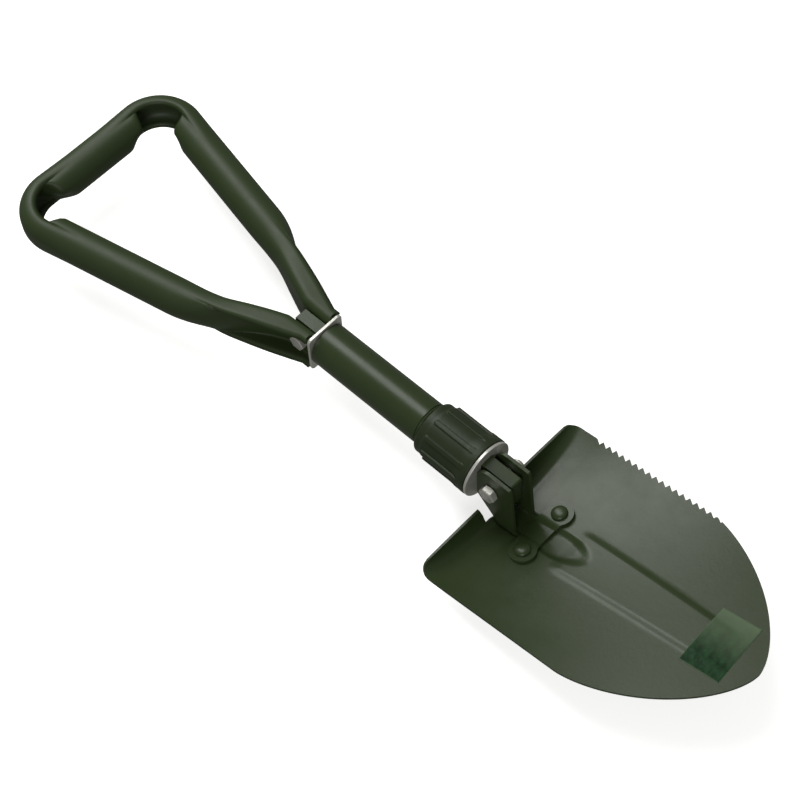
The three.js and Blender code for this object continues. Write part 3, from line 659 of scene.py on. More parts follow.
def on_face(x, y, lift=0.0):
    """Point at a lift above the blade's face, square to it."""
    step = 0.05 * MM
    slope_x = (face_height(x + step, y) - face_height(x - step, y)) / (2 * step)
    slope_y = (face_height(x, y + step) - face_height(x, y - step)) / (2 * step)
    normal = Vector((-slope_x, -slope_y, 1)).normalized()
    return HINGE + Vector((x, y, face_height(x, y))) + normal * lift, normal


def blade_columns():
    """Stations along the blade: close in the flange bend, on every tooth, and even round the point."""
    rear, tip, _ = blade_sizes_cached()
    sweep = [rear + FLANGE_RUN * (1 - math.sin(a) / math.sin(FLANGE_SWEEP)) for a in span(FLANGE_SWEEP, 0, 14)]
    foot = span(sweep[-1], TOOTH_START, 6)[1:-1] + [rear + NOTCH_DEPTH]
    shares = (0, 0.25, 0.5, TOOTH_LEAN, 0.88)
    teeth = [TOOTH_START + TOOTH_PITCH * (i + share) for i in range(TOOTH_COUNT) for share in shares]
    last = TOOTH_START + TOOTH_COUNT * TOOTH_PITCH
    reach = tip - SHOULDER
    first_angle = math.acos(((last - SHOULDER) / reach) ** (TIP_POWER / 2))
    point = [SHOULDER + reach * math.cos(a) ** (2 / TIP_POWER) for a in span(first_angle, 0, 52)]
    return sorted(sweep + foot + teeth + point)


def blade_rows():
    """Lines across the blade for its full width: closer along the rib's flanks and the hollow."""
    _, _, wide = blade_sizes_cached()
    half = span(0, 7 * MM, 9) + span(7 * MM, NOTCH_HALF_WIDTH, 16)[1:] + span(NOTCH_HALF_WIDTH, wide, 38)[1:]
    return [-y for y in reversed(half[1:])] + half


def half_width(x):
    """Half width of the blade's plan: round rear corners, straight sides and a rounded point."""
    rear, tip, wide = blade_sizes_cached()
    if x < rear + REAR_CORNER:
        t = math.sqrt(max(0.0, x - rear) / REAR_CORNER)
        return wide - REAR_CORNER + REAR_CORNER * (2 * t - t * t)
    if x > SHOULDER:
        share = clamp((x - SHOULDER) / (tip - SHOULDER))
        return wide * (1 - share ** TIP_POWER) ** (1 / TIP_POWER)
    return wide


def tooth_cut(x):
    """How far the saw edge is cut in at a station."""
    depth = bpy.context.scene.shovel_sizes.tooth_depth
    end = TOOTH_START + TOOTH_COUNT * TOOTH_PITCH
    if not TOOTH_START <= x < end - 1e-9:
        return 0.0
    share = ((x - TOOTH_START) / TOOTH_PITCH) % 1
    if share > 1 - 1e-6:
        share = 0.0
    cut = share / TOOTH_LEAN if share <= TOOTH_LEAN else (1 - share) / (1 - TOOTH_LEAN)
    _, _, wide = blade_sizes_cached()
    return max(0.0, depth * cut - (wide - half_width(x)))


def blade_plan(x, full_y):
    """Where a line of the full-width blade runs once the plan narrows: the middle stays straight."""
    _, _, wide = blade_sizes_cached()
    narrow = half_width(x)
    inner_full = 18 * MM
    inner = min(inner_full, 0.5 * narrow)
    size = abs(full_y)
    if size <= inner_full:
        y = size / inner_full * inner
    else:
        y = inner + (size - inner_full) / (wide - inner_full) * (narrow - inner)
    if full_y > 0:
        y -= tooth_cut(x) * smooth((size - wide + TOOTH_FADE) / TOOTH_FADE)
    return math.copysign(y, full_y)


def notch_limit(y):
    """The rear edge's place beside the notch, where its corners are rounded."""
    rear, _, _ = blade_sizes_cached()
    share = clamp((NOTCH_HALF_WIDTH + NOTCH_CORNER - abs(y)) / NOTCH_CORNER)
    return rear + NOTCH_CORNER * (1 - math.sqrt(max(0.0, 1 - share))) ** 2


def blade_mesh():
    """The pressed sheet: a grid drawn to the plan outline and raised to the face."""
    rear, _, _ = blade_sizes_cached()
    columns, rows = blade_columns(), blade_rows()
    bm = bmesh.new()
    bmesh.ops.create_grid(bm, x_segments=len(columns) - 1, y_segments=len(rows) - 1, size=1)
    for vert in bm.verts:
        column = columns[round((vert.co.x + 1) / 2 * (len(columns) - 1))]
        row = rows[round((vert.co.y + 1) / 2 * (len(rows) - 1))]
        vert.co = (column, blade_plan(column, row), 0)
    edge = rear + NOTCH_DEPTH
    notch = [
        f for f in bm.faces
        if f.calc_center_median().x < edge and abs(f.calc_center_median().y) < NOTCH_HALF_WIDTH]
    bmesh.ops.delete(bm, geom=notch, context="FACES")
    for vert in bm.verts:
        x = max(vert.co.x, notch_limit(vert.co.y)) if vert.co.x < rear + NOTCH_CORNER else vert.co.x
        vert.co = HINGE + Vector((x, vert.co.y, face_height(x, vert.co.y)))
    bmesh.ops.remove_doubles(bm, verts=bm.verts, dist=20 * WELD)
    if sum(f.normal.z for f in bm.faces) < 0:
        bmesh.ops.reverse_faces(bm, faces=bm.faces)
    return bm


class SHOVEL_OT_blade(bpy.types.Operator):
    """Build the pressed blade with its saw edge, foot flanges, hollow and rib"""

    bl_idname = "shovel.blade"
    bl_label = "Blade"

    def execute(self, context):
        sizes = context.scene.shovel_sizes
        blade = piece("blade_pressing", blade_mesh(), "blade", ["blade"], sheet_paint())
        thicken(blade, sizes.blade_thickness)
        round_edges(blade, sizes.edge_round)
        return {"FINISHED"}


class SHOVEL_OT_label(bpy.types.Operator):
    """Build the blank label near the blade's point"""

    bl_idname = "shovel.label"
    bl_label = "Label"

    def execute(self, context):
        corners = [Vector((116, -15)) * MM, Vector((136.6, -14.1)) * MM, Vector((135, 18.3)) * MM,
                   Vector((115, 17.2)) * MM]
        bm = bmesh.new()
        bmesh.ops.create_grid(bm, x_segments=26, y_segments=44, size=0.5, calc_uvs=True)
        uv = bm.loops.layers.uv.verify()
        for face in bm.faces:
            for loop in face.loops:
                loop[uv].uv = (loop.vert.co.x + 0.5, loop.vert.co.y + 0.5)
        for vert in bm.verts:
            s, t = vert.co.x + 0.5, vert.co.y + 0.5
            low, high = corners[0].lerp(corners[1], s), corners[3].lerp(corners[2], s)
            spot = low.lerp(high, t)
            vert.co = on_face(spot.x, spot.y, 0.10 * MM)[0]
        label = piece("blank_label", bm, "blade", [], label_film())
        thicken(label, 0.07 * MM)
        return {"FINISHED"}


# ---- Bracket and rivets --------------------------------------------------------------------------


def bracket_outline():
    """Plan of the bracket's base: a strip between the ears and a round lobe for each rivet."""
    lobe = RIVET_X - LOBE_RADIUS
    side = [(BRACKET_START, -EAR_FACE)]
    side += bend((lobe - LOBE_FILLET, -EAR_FACE), (lobe, -EAR_FACE), (lobe, -RIVET_Y), 8)
    side += arc((RIVET_X, -RIVET_Y), LOBE_RADIUS, 180, 405, 36)[1:]
    side += [(BRACKET_END, EAR_THICK - EAR_FACE)]
    return side + [(x, -y) for x, y in reversed(side)]


def bracket_base(bm):
    """The base: its outline cut into small squares, laid on the blade's face and given its wall."""
    outline_face(bm, [(x, y, 0) for x, y in bracket_outline()])
    reach = RIVET_Y + LOBE_RADIUS
    step = 0.8 * MM
    cuts = [((x, 0, 0), (1, 0, 0)) for x in span(BRACKET_START, RIVET_X + LOBE_RADIUS, 33)[1:-1]]
    cuts += [((0, k * step, 0), (0, 1, 0)) for k in range(-int(reach / step), int(reach / step) + 1)]
    for place, normal in cuts:
        bmesh.ops.bisect_plane(bm, geom=bm.verts[:] + bm.edges[:] + bm.faces[:], plane_co=place, plane_no=normal)
    for vert in bm.verts:
        vert.co = on_face(vert.co.x, vert.co.y, SEAT)[0]
    if sum(f.normal.z for f in bm.faces) > 0:
        bmesh.ops.reverse_faces(bm, faces=bm.faces)
    bmesh.ops.solidify(bm, geom=bm.faces[:], thickness=EAR_THICK)


def ear_outline():
    """Side view of an ear: slanted foot and front, and a round cam at the rear top."""
    top = EAR_TOP
    points = [(EAR_REAR, EAR_REAR_LOW), (BRACKET_START, face_height(BRACKET_START + 3 * MM, 0) + 1 * MM)]
    points += [(EAR_FRONT_FOOT, face_height(EAR_FRONT_FOOT, EAR_FACE) + EAR_THICK)]
    points += [(EAR_FRONT_TOP, top - EAR_CHAMFER), (EAR_FRONT_TOP - EAR_CHAMFER, top)]
    return points + arc((EAR_REAR + EAR_CAM_RADIUS, top - EAR_CAM_RADIUS), EAR_CAM_RADIUS, 90, 180, 16)


class SHOVEL_OT_bracket(bpy.types.Operator):
    """Build the folded bracket with its two ears and rivet lobes"""

    bl_idname = "shovel.bracket"
    bl_label = "Bracket"

    def execute(self, context):
        bm = bmesh.new()
        bracket_base(bm)
        for low in (-EAR_FACE, EAR_FACE - EAR_THICK):
            prism(bm, [HINGE + Vector((x, low, z)) for x, z in ear_outline()], (0, EAR_THICK, 0))
        close_up(bm)
        bracket = piece("hinge_bracket", bm, "blade", ["blade_bracket"], sheet_paint())
        round_edges(bracket, 2 * context.scene.shovel_sizes.edge_round, 3)
        return {"FINISHED"}


class SHOVEL_OT_rivets(bpy.types.Operator):
    """Build the two dome rivets"""

    bl_idname = "shovel.rivets"
    bl_label = "Rivets"

    def execute(self, context):
        thick = context.scene.shovel_sizes.blade_thickness
        shank, head, tail, rim = 2.4 * MM, 4.1 * MM, 3.6 * MM, 0.3 * MM
        seat, rise, foot = 2 * SEAT + EAR_THICK, 2.3 * MM, thick + SEAT
        dome = [(seat + rim + (rise - rim) * math.sin(a), head * math.cos(a)) for a in span(0, math.pi / 2, 12)]
        low = foot + 1.1 * MM
        profile = [(-low, 0), (-low, tail - rim), (-low + rim, tail), (-foot, tail), (-foot, shank), (seat, shank)]
        profile += [(seat, head)] + dome[:-1] + [(seat + rise, 0)]
        for side, name in ((-1, "left"), (1, "right")):
            bm = turned(profile, Vector(), 48)
            spot, normal = on_face(RIVET_X, side * RIVET_Y)
            turn = Vector((1, 0, 0)).rotation_difference(normal).to_matrix().to_4x4()
            bmesh.ops.transform(bm, matrix=Matrix.Translation(spot) @ turn, verts=bm.verts)
            piece(f"rivet_dome_{name}", bm, "blade", [f"rivet_{name}"], sheet_paint(), sharp=50)
        return {"FINISHED"}


# ---- Core, sleeve and collar ---------------------------------------------------------------------


class SHOVEL_OT_core(bpy.types.Operator):
    """Build the flat draw bar that carries both pivots"""

    bl_idname = "shovel.core"
    bl_label = "Draw bar"

    def execute(self, context):
        low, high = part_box("draw_bar")
        middle = (low + high) / 2
        bm = bmesh.new()
        outline = rounded_box(high.x - low.x, high.z - low.z, 1.3 * MM, 8)
        prism(bm, [Vector((middle.x + x, low.y, middle.z + z)) for x, z in outline], (0, high.y - low.y, 0))
        close_up(bm)
        bar = piece("flat_bar", bm, "core", ["draw_bar"], sheet_paint())
        round_edges(bar, 0.45 * MM, 3)
        return {"FINISHED"}


class SHOVEL_OT_sleeve(bpy.types.Operator):
    """Build the main tube and the square pressure plate at its grip end"""

    bl_idname = "shovel.sleeve"
    bl_label = "Tube and plate"

    def execute(self, context):
        low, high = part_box("main_tube")
        middle, radius = (low + high) / 2, (high.z - low.z) / 2
        wall, chamfer = 1.2 * MM, 0.35 * MM
        pitch, crest, thread = 1.6 * MM, 0.0, 3
        outer = [(low.x, radius - chamfer), (low.x + chamfer, radius)]
        outer += [(x, radius) for x in span(low.x, high.x, 30)[1:-1]]
        for i in range(thread):
            start = high.x - chamfer - (thread - i) * pitch
            outer += [(start, radius - crest), (start + pitch / 2, radius - 0.5 * MM)]
        outer = sorted(outer) + [(high.x - chamfer, radius), (high.x, radius - chamfer)]
        inner = [(high.x, radius - wall), (low.x, radius - wall), outer[0]]
        bm = turned(outer + inner, Vector((0, middle.y, middle.z)), 96)
        piece("outer_tube", bm, "sleeve", ["main_tube"], tube_paint(), sharp=38)
        self.plate()
        return {"FINISHED"}

    def plate(self):
        low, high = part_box("pressure_plate")
        middle = (low + high) / 2
        steps = 8
        rim = rounded_box(high.y - low.y, high.z - low.z, 2.4 * MM, steps)
        slot = rounded_box(7.6 * MM, 18.6 * MM, 0.6 * MM, steps)
        bm = slotted_plate(rim, slot, low.x, high.x, middle)
        plate = piece("square_plate", bm, "sleeve", ["pressure_plate"], zinc_plate())
        round_edges(plate, 0.25 * MM, 3)


def slotted_plate(rim, slot, start, end, middle):
    """A flat plate across the tube: two loops bridged into a face, then given its thickness."""
    bm = bmesh.new()
    edges = []
    for outline in (rim, slot):
        verts = [bm.verts.new((start, middle.y + y, middle.z + z)) for y, z in outline]
        edges += [bm.edges.new(pair) for pair in zip(verts, verts[1:] + verts[:1])]
    faces = bmesh.ops.bridge_loops(bm, edges=edges)["faces"]
    made = bmesh.ops.extrude_face_region(bm, geom=faces, use_keep_orig=True)["geom"]
    verts = [g for g in made if isinstance(g, bmesh.types.BMVert)]
    bmesh.ops.translate(bm, verts=verts, vec=(end - start, 0, 0))
    close_up(bm)
    return bm


class SHOVEL_OT_disc(bpy.types.Operator):
    """Build the zinc thrust disc in front of the collar"""

    bl_idname = "shovel.disc"
    bl_label = "Thrust disc"

    def execute(self, context):
        low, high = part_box("thrust_disc")
        middle, radius = (low + high) / 2, (high.z - low.z) / 2
        steps = 16
        rim = arc((0, 0), radius, 0, 360, 4 * steps + 4)[:-1]
        slot = rounded_box(7.6 * MM, 18.6 * MM, 0.6 * MM, steps)
        bm = slotted_plate(rim, slot, low.x, high.x, middle)
        disc = piece("round_disc", bm, "disc", ["thrust_disc"], zinc_plate())
        round_edges(disc, 0.3 * MM, 3, 60)
        return {"FINISHED"}


def ridge_height(angle, x, start, end):
    """Share of the ridge rise at a place round and along the collar. A ridge has a round tube end."""
    count, phase, half, slope = 10, math.radians(30), 1.3 * MM, 0.4 * MM
    radius = 14 * MM
    turn = (angle - phase) % (math.tau / count)
    across = min(turn, math.tau / count - turn) * radius
    reach = max(0.0, start + half - x)
    inside = half - math.hypot(across, reach)
    return smooth(inside / slope + 0.5) * smooth((end - x) / (1.2 * MM) + 0.5)


class SHOVEL_OT_collar(bpy.types.Operator):
    """Build the locking collar with its grip ridges"""

    bl_idname = "shovel.collar"
    bl_label = "Locking collar"

    def execute(self, context):
        rise = context.scene.shovel_sizes.ridge_rise
        low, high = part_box("locking_collar")
        start, end = low.x + 3 * MM, high.x
        middle = Vector((0, (low.y + high.y) / 2, (low.z + high.z) / 2))
        band, body, flange, bore = 13.5 * MM, 13.9 * MM, 15.2 * MM, 11.3 * MM
        ridge_start, ridge_end = low.x + 8 * MM, end - 3.2 * MM
        mouth = [(start + 1.4 * MM * (1 - math.cos(a)), band - 1.1 * MM * (1 - math.sin(a)))
                 for a in span(0, math.pi / 2, 6)]
        along = span(start + 2 * MM, end - 0.5 * MM, 72)
        outer = []
        for x in along:
            step = (body - band) * smooth((x - ridge_start + 1.5 * MM) / (1.5 * MM))
            flare = (flange - body) * smooth((x - end + 9 * MM) / (7 * MM)) ** 1.3
            outer.append((x, band + step + flare))
        lip = [(end - 0.5 * MM + 0.5 * MM * math.sin(a), flange - 0.5 * MM * (1 - math.cos(a)))
               for a in span(0, math.pi / 2, 4)][1:]
        inner = [(end, bore), (start, bore), mouth[0]]
        bm = turned(mouth + outer + lip + inner, middle, 360)
        for vert in bm.verts:
            spoke = Vector((0, vert.co.y, vert.co.z)) - middle
            if spoke.length > band - 0.2 * MM and start + 2 * MM < vert.co.x < end - 1 * MM:
                angle = math.atan2(spoke.z, spoke.y)
                share = ridge_height(angle, vert.co.x, ridge_start, ridge_end)
                limit = max(spoke.length, flange - 0.05 * MM)
                longer = min(spoke.length + rise * share, limit)
                vert.co += spoke.normalized() * (longer - spoke.length)
        piece("grip_collar", bm, "collar", ["locking_collar"], cast_paint(), sharp=60)
        return {"FINISHED"}


# ---- Handle --------------------------------------------------------------------------------------


class Route:
    """A plan route of straight runs joined by arcs, measured by distance from its start."""

    def __init__(self, corners):
        self.runs = []
        self.length = 0.0
        start = Vector(corners[0][:2])
        for before, corner, after in zip(corners, corners[1:], corners[2:]):
            at, radius = Vector(corner[:2]), corner[2]
            back = (Vector(before[:2]) - at).normalized()
            ahead = (Vector(after[:2]) - at).normalized()
            half = back.angle(ahead) / 2
            reach = radius / math.tan(half)
            centre = at + (back + ahead).normalized() * radius / math.sin(half)
            first = at + back * reach
            self.add_line(start, first)
            side = -1 if back.cross(ahead) > 0 else 1
            self.add_arc(centre, first, side * (math.pi - 2 * half))
            start = at + ahead * reach
        self.add_line(start, Vector(corners[-1][:2]))

    def add_line(self, start, end):
        heading = (end - start).normalized()
        self.add((end - start).length, lambda d: (start + heading * d, heading))

    def add_arc(self, centre, first, sweep):
        spoke = first - centre
        radius = spoke.length

        def place(d):
            turn = Matrix.Rotation(math.copysign(d / radius, sweep), 2)
            out = turn @ spoke
            heading = Vector((-out.y, out.x)).normalized() * math.copysign(1, sweep)
            return centre + out, heading

        self.add(radius * abs(sweep), place)

    def add(self, length, place):
        self.runs.append((self.length, length, place))
        self.length += length

    def at(self, distance):
        for start, length, place in self.runs:
            if distance <= start + length + 1e-12:
                return place(max(0.0, distance - start))
        start, length, place = self.runs[-1]
        return place(length)


def handle_route():
    leg_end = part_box("grip_handle")[1].x
    grip = HANDLE_PIVOT.x - GRIP_REACH

    def leg(side):
        return [
            (leg_end, side * LEG_END_Y, 0),
            (leg_end - LEG_END_RUN, side * LEG_END_Y, LEG_END_BEND),
            (HANDLE_PIVOT.x - LEG_KNEE[0], side * LEG_KNEE[1], LEG_KNEE[2]),
            (grip, side * GRIP_HALF_SPAN, GRIP_CORNER)]

    return Route(leg(-1) + leg(1)[::-1])


def channel_point(share, web, arm, half_height, fold):
    """Middle line of a folded wall, a channel open outwards, for a share from -1 to 1 round it."""
    straight = half_height - fold
    quarter = math.pi / 2 * fold
    distance = abs(share) * (straight + quarter + arm - fold)
    sign = math.copysign(1, share)
    if distance < straight:
        return web, sign * distance, 0.0, 1.0
    a = min((distance - straight) / fold, math.pi / 2)
    run = max(0.0, distance - straight - quarter)
    out = web + fold * (1 - math.cos(a)) + run
    return out, sign * (straight + fold * math.sin(a)), sign * math.sin(a), math.cos(a)


def folded_point(angle, web, arm, half_height, fold, wall):
    """Wall middle line of a tube whose side at angle 0 is pushed in onto the other side."""
    gap = (wall + FOLD_GAP) / 2
    quarter = math.pi / 2
    near = abs(abs(angle) - quarter) < 1e-6
    pushed = abs(angle) < quarter
    share = angle / quarter if pushed or near else math.copysign(2 - abs(angle) / quarter, angle)
    out, height, along_out, along_height = channel_point(share, web, arm, half_height, fold)
    if near:
        return out + gap, height
    side = gap if pushed else -gap
    return out + side * along_height, height - side * along_out


def handle_section(leg_fold, corner_folds, web, arm, wall):
    """One cross-section's outer skin, as points of (outward, up). The pushed-in inner side is a dent with its own
    folds for the upper and the lower half, because the dent runs out further below."""
    count = 72
    middle = HANDLE_RADIUS - wall / 2
    loop = []
    for angle in span(-math.pi, math.pi, count)[:-1]:
        ring = Vector((middle * math.cos(angle), middle * math.sin(angle)))
        leg = Vector(folded_point(angle, web, arm, FOLD_HALF_HEIGHT, FOLD_CORNER, wall))
        opposite = math.copysign(math.pi - abs(angle), angle or 1)
        out, up = folded_point(opposite, -CORNER_WEB, CORNER_ARM, CORNER_HALF_HEIGHT, CORNER_FOLD, wall)
        corner = Vector((-out, up))
        inner = smooth((abs(angle) - math.radians(72)) / math.radians(36))
        outer_fold, upper_dent, lower_dent = corner_folds
        dent = upper_dent + (lower_dent - upper_dent) * smooth(0.5 - math.sin(angle))
        fold = outer_fold + (dent - outer_fold) * inner
        loop.append(ring + (leg - ring) * leg_fold + (corner - ring) * fold)
    skin = []
    for before, point, after in zip(loop[-1:] + loop[:-1], loop, loop[1:] + loop[:1]):
        along = (after - before).normalized()
        skin.append(point + Vector((along.y, -along.x)) * wall / 2)
    return skin


def handle_rings(wall):
    route = handle_route()
    corner_start, corner_end = route.runs[5][0], route.runs[6][0]
    leg_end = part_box("grip_handle")[1].x
    low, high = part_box("grip_handle")
    middle = (low.z + high.z) / 2
    rings = []
    for distance in span(0, route.length, 300):
        start = min(distance, route.length - distance)
        point, heading = route.at(distance)
        leg_fold = smooth((FOLD_FADE - start) / (FOLD_FADE - FOLD_START))
        corner = [
            smooth((start - corner_start + lead) / fade) * smooth((corner_end - start + lead) / fade)
            for lead, fade in ((CORNER_LEAD, CORNER_FADE), (DENT_LEAD, DENT_FADE), (DENT_LOW_LEAD, DENT_LOW_FADE))]
        web = WEB_SEAT + WEB_SPREAD * max(0.0, start - WEB_FLAT)
        lip = LIP_END + LIP_SPREAD * start - wall - FOLD_GAP / 2
        arm = max(lip - web, 2 * FOLD_CORNER)
        ring = []
        for out, up in handle_section(leg_fold, corner, web - abs(point.y), arm, wall):
            x = point.x - out * heading.y
            ring.append(Vector((min(x, leg_limit(up, leg_end)), point.y + out * heading.x, middle + up)))
        rings.append(ring)
    return rings


def leg_limit(up, leg_end):
    """How far a leg reaches at a height: its end has round corners seen from the side."""
    edge = FOLD_HALF_HEIGHT + 1.6 * MM - LEG_CORNER
    over = max(0.0, abs(up) - edge)
    return leg_end - LEG_CORNER + math.sqrt(max(0.0, LEG_CORNER ** 2 - over ** 2))


class SHOVEL_OT_handle(bpy.types.Operator):
    """Build the triangular tube handle with its folded legs and collapsed corners"""

    bl_idname = "shovel.handle"
    bl_label = "Handle"

    def execute(self, context):
        wall = context.scene.shovel_sizes.handle_wall
        bm = loft(handle_rings(wall))
        bmesh.ops.recalc_face_normals(bm, faces=bm.faces)
        handle = piece("triangle_handle", bm, "handle", ["grip_handle"], handle_paint())
        thicken(handle, wall)
        return {"FINISHED"}


# ---- Fasteners -----------------------------------------------------------------------------------


def across(bm, middle):
    """Turns a shape made along X so that it lies along Y, and puts it in place."""
    turn = Matrix.Translation(middle) @ Matrix.Rotation(math.radians(90), 4, "Z")
    bmesh.ops.transform(bm, matrix=turn, verts=bm.verts)


def hexagon(bm, start, end, flats, chamfer):
    """A hexagon along X with its outer corners turned off."""
    radius = flats / math.sqrt(3)
    points = arc((0, 0), radius, 0, 360, 6)[:-1]
    prism(bm, [Vector((start, y, z)) for y, z in points], (end - start - chamfer, 0, 0))
    bm.faces.ensure_lookup_table()
    cap = max(bm.faces, key=lambda f: f.calc_center_median().x - 1e3 * (abs(f.normal.x) < 0.5))
    top = bmesh.ops.extrude_face_region(bm, geom=[cap])["geom"]
    verts = [g for g in top if isinstance(g, bmesh.types.BMVert)]
    bmesh.ops.delete(bm, geom=[cap], context="FACES_ONLY")
    bmesh.ops.translate(bm, verts=verts, vec=(chamfer, 0, 0))
    centre = Vector((end, 0, 0))
    for vert in verts:
        vert.co = centre + (vert.co - centre) * (1 - 1.1 * chamfer / radius)


def add_turned(bm, profile, steps):
    """Adds a body of revolution about X to a bmesh."""
    extra = turned(profile, Vector(), steps)
    mesh = bpy.data.meshes.new("turned_part")
    extra.to_mesh(mesh)
    extra.free()
    bm.from_mesh(mesh)
    bpy.data.meshes.remove(mesh)


def bolt_mesh(node_name, head):
    """A hex bolt in the box of its CAD node: head on the low Y side, a washer face and a threaded end."""
    low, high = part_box(node_name)
    middle = (low + high) / 2
    length = high.y - low.y
    shank, flats = 2.5 * MM, 8 * MM
    bm = bmesh.new()
    hexagon(bm, length / 2 - head + 0.3 * MM, length / 2, flats, 0.45 * MM)
    bolt_end, pitch, depth = -length / 2, 0.8 * MM, 0.3 * MM
    profile = [(bolt_end, 0), (bolt_end, shank - 0.5 * MM), (bolt_end + 0.5 * MM, shank)]
    for i in range(7):
        start = bolt_end + 0.5 * MM + i * pitch
        profile += [(start + pitch / 2, shank - depth), (start + pitch, shank)]
    washer = length / 2 - head
    profile += [(washer, shank), (washer, flats / 2 - 0.1 * MM), (washer + 0.4 * MM, flats / 2 - 0.1 * MM)]
    profile += [(washer + 0.4 * MM, 0)]
    add_turned(bm, profile, 40)
    recess = [(length / 2 - 0.4 * MM, 0), (length / 2 - 0.4 * MM, 2 * MM), (length / 2, 2.5 * MM)]
    add_turned(bm, recess + [(length / 2 + 0.0 * MM, 2.6 * MM), (length / 2 - 0.6 * MM, 2.6 * MM),
                             (length / 2 - 0.6 * MM, 0)], 32)
    turn = Matrix.Translation(Vector((middle.x, middle.y, middle.z))) @ Matrix.Rotation(math.radians(-90), 4, "Z")
    bmesh.ops.transform(bm, matrix=turn, verts=bm.verts)
    return bm


def nut_mesh(node_name):
    """A lock nut in the box of its CAD node, with its round crown on the high Y side."""
    low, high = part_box(node_name)
    middle = (low + high) / 2
    height = high.y - low.y
    crown = 1.4 * MM
    bm = bmesh.new()
    hexagon(bm, -height / 2, height / 2 - crown / 2, 8 * MM, 0.4 * MM)
    outer, inner, top = 3.7 * MM, 2.7 * MM, height / 2
    ring = [(top - crown, inner), (top - crown, outer), (top - 0.4 * MM, outer), (top, outer - 0.4 * MM)]
    add_turned(bm, ring + [(top, inner), (top - crown, inner)], 40)
    across(bm, middle)
    return bm


class SHOVEL_OT_fasteners(bpy.types.Operator):
    """Build both pivot bolts, their lock nuts and the two hinge spacers"""

    bl_idname = "shovel.fasteners"
    bl_label = "Fasteners"

    def execute(self, context):
        for place in ("handle", "hinge"):
            bm = bolt_mesh(f"{place}_bolt", 3.5 * MM)
            close_up(bm)
            piece(f"{place}_hex_bolt", bm, "core", [f"{place}_bolt"], zinc_plate(), sharp=30)
            bm = nut_mesh(f"{place}_nut")
            close_up(bm)
            piece(f"{place}_lock_nut", bm, "core", [f"{place}_nut"], zinc_plate(), sharp=30)
        for side in ("left", "right"):
            low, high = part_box(f"hinge_spacer_{side}")
            half, outer = (high.y - low.y) / 2, (high.z - low.z) / 2
            inner, edge = 2.8 * MM, 0.2 * MM
            ring = [(-half, inner), (-half, outer - edge), (edge - half, outer), (half - edge, outer)]
            bm = turned(ring + [(half, outer - edge), (half, inner), (-half, inner)], Vector(), 48)
            across(bm, (low + high) / 2)
            piece(f"spacer_ring_{side}", bm, "core", [f"hinge_spacer_{side}"], zinc_plate(), sharp=30)
        return {"FINISHED"}


# ---- Studio --------------------------------------------------------------------------------------


def softbox(name, place, size, power, target):
    """A soft area light, placed from the hinge and aimed at a point."""
    light = bpy.data.lights.new(name, "AREA")
    light.shape = "RECTANGLE"
    light.size, light.size_y = size
    light.energy = power
    lamp = bpy.data.objects.new(name, light)
    lamp.location = place
    lamp.rotation_euler = (target - lamp.location).to_track_quat("-Z", "Y").to_euler()
    bpy.context.scene.collection.objects.link(lamp)


def floor_material(colour):
    material, tree, shader = new_material("studio_floor")
    place = node(tree, "ShaderNodeTexCoord").outputs["Object"]
    mottled = blend_colour(tree, ranged(tree, noise(tree, place, 3, 4), 0.3, 0.7), colour, [0.985 * c for c in colour])
    tree.links.new(mottled, shader.inputs["Base Color"])
    shader.inputs["Roughness"].default_value = 0.9
    shader.inputs["Specular IOR Level"].default_value = 0.1
    tree.links.new(mottled, shader.inputs["Emission Color"])
    shader.inputs["Emission Strength"].default_value = 0.8
    return material


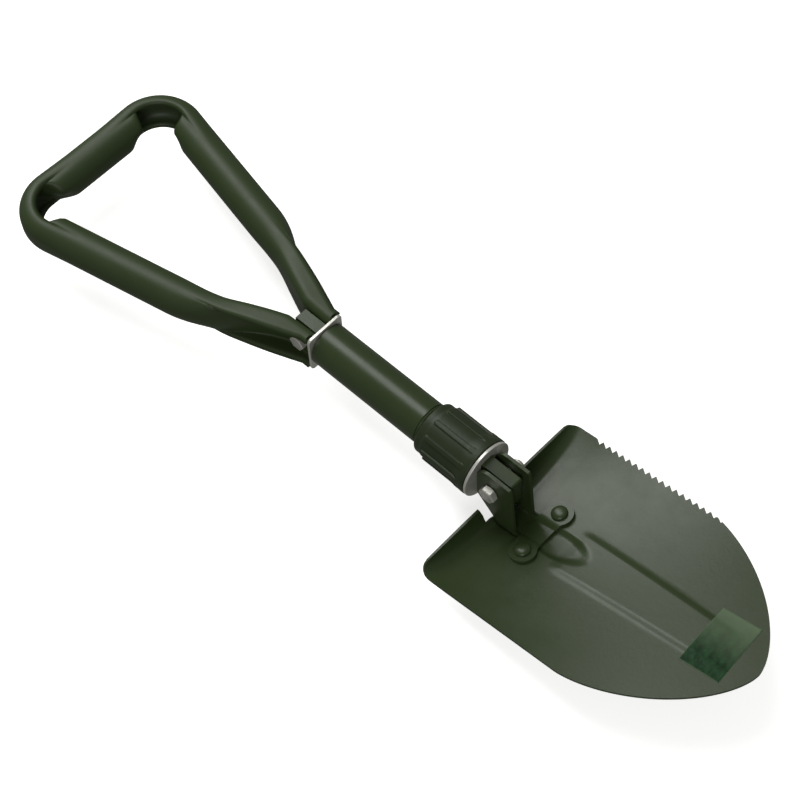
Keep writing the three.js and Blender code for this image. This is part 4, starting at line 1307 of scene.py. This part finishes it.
class SHOVEL_OT_studio(bpy.types.Operator):
    """Set up the pale floor, the soft lights and the camera"""

    bl_idname = "shovel.studio"
    bl_label = "Studio"

    def execute(self, context):
        scene, studio = context.scene, context.scene.shovel_studio
        bm = bmesh.new()
        bmesh.ops.create_grid(bm, x_segments=8, y_segments=8, size=4)
        mesh = bpy.data.meshes.new("floor")
        bm.to_mesh(mesh)
        bm.free()
        floor = bpy.data.objects.new("floor", mesh)
        floor.location.z = CAD_BOX[0][2] - 0.2 * MM
        scene.collection.objects.link(floor)
        mesh.materials.append(floor_material(studio.floor))
        floor.visible_diffuse = floor.visible_glossy = False

        target = HINGE + CAMERA_TARGET
        softbox("key_softbox", target + Vector((-0.61, 0.13, 0.78)) * 1.6, (0.8, 1.9), studio.key_power, target)
        softbox("side_softbox", target + Vector((0.6, -0.9, 0.7)) * 1.4, (0.6, 0.6), studio.fill_power, target)
        scene.world = bpy.data.worlds.new("room")
        scene.world.use_nodes = True
        sky = scene.world.node_tree.nodes["Background"]
        sky.inputs["Color"].default_value = (1.0, 1.0, 0.96, 1)
        sky.inputs["Strength"].default_value = studio.sky
        scene.view_settings.view_transform = "Standard"

        level = math.cos(CAMERA_ELEVATION)
        away = Vector((math.sin(CAMERA_AZIMUTH) * level, -math.cos(CAMERA_AZIMUTH) * level,
                       math.sin(CAMERA_ELEVATION)))
        data = bpy.data.cameras.new("camera")
        data.lens = studio.lens
        camera = bpy.data.objects.new("camera", data)
        camera.location = target + away * CAMERA_DISTANCE
        roll = Quaternion((0, 0, 1), CAMERA_ROLL)
        camera.rotation_euler = ((-away).to_track_quat("-Z", "Y") @ roll).to_euler()
        scene.collection.objects.link(camera)
        scene.camera = camera
        return {"FINISHED"}


# ---- Add-on --------------------------------------------------------------------------------------

PIECES = (
    SHOVEL_OT_blade, SHOVEL_OT_label, SHOVEL_OT_bracket, SHOVEL_OT_rivets, SHOVEL_OT_core, SHOVEL_OT_sleeve,
    SHOVEL_OT_disc, SHOVEL_OT_collar, SHOVEL_OT_handle, SHOVEL_OT_fasteners, SHOVEL_OT_studio,
)


class SHOVEL_PT_panel(bpy.types.Panel):
    """Lists the pieces of the shovel and what can be changed"""

    bl_idname = "SHOVEL_PT_panel"
    bl_label = "Camp shovel"
    bl_space_type = "VIEW_3D"
    bl_region_type = "UI"
    bl_category = "Shovel"

    def draw(self, context):
        for settings in (context.scene.shovel_sizes, context.scene.shovel_finish, context.scene.shovel_studio):
            box = self.layout.box()
            for key in settings.__annotations__:
                box.prop(settings, key)
        for operator in PIECES:
            self.layout.operator(operator.bl_idname)


SETTINGS = {"shovel_sizes": ShovelSizes, "shovel_finish": ShovelFinish, "shovel_studio": StudioSettings}
CLASSES = (*SETTINGS.values(), *PIECES, SHOVEL_PT_panel)


def register():
    for cls in CLASSES:
        bpy.utils.register_class(cls)
    for key, group in SETTINGS.items():
        setattr(bpy.types.Scene, key, bpy.props.PointerProperty(type=group))


def unregister():
    for key in SETTINGS:
        delattr(bpy.types.Scene, key)
    for cls in reversed(CLASSES):
        bpy.utils.unregister_class(cls)


def main():
    register()
    for operator in PIECES:
        getattr(bpy.ops.shovel, operator.bl_idname.split(".")[1])()


if __name__ == "__main__":
    main()
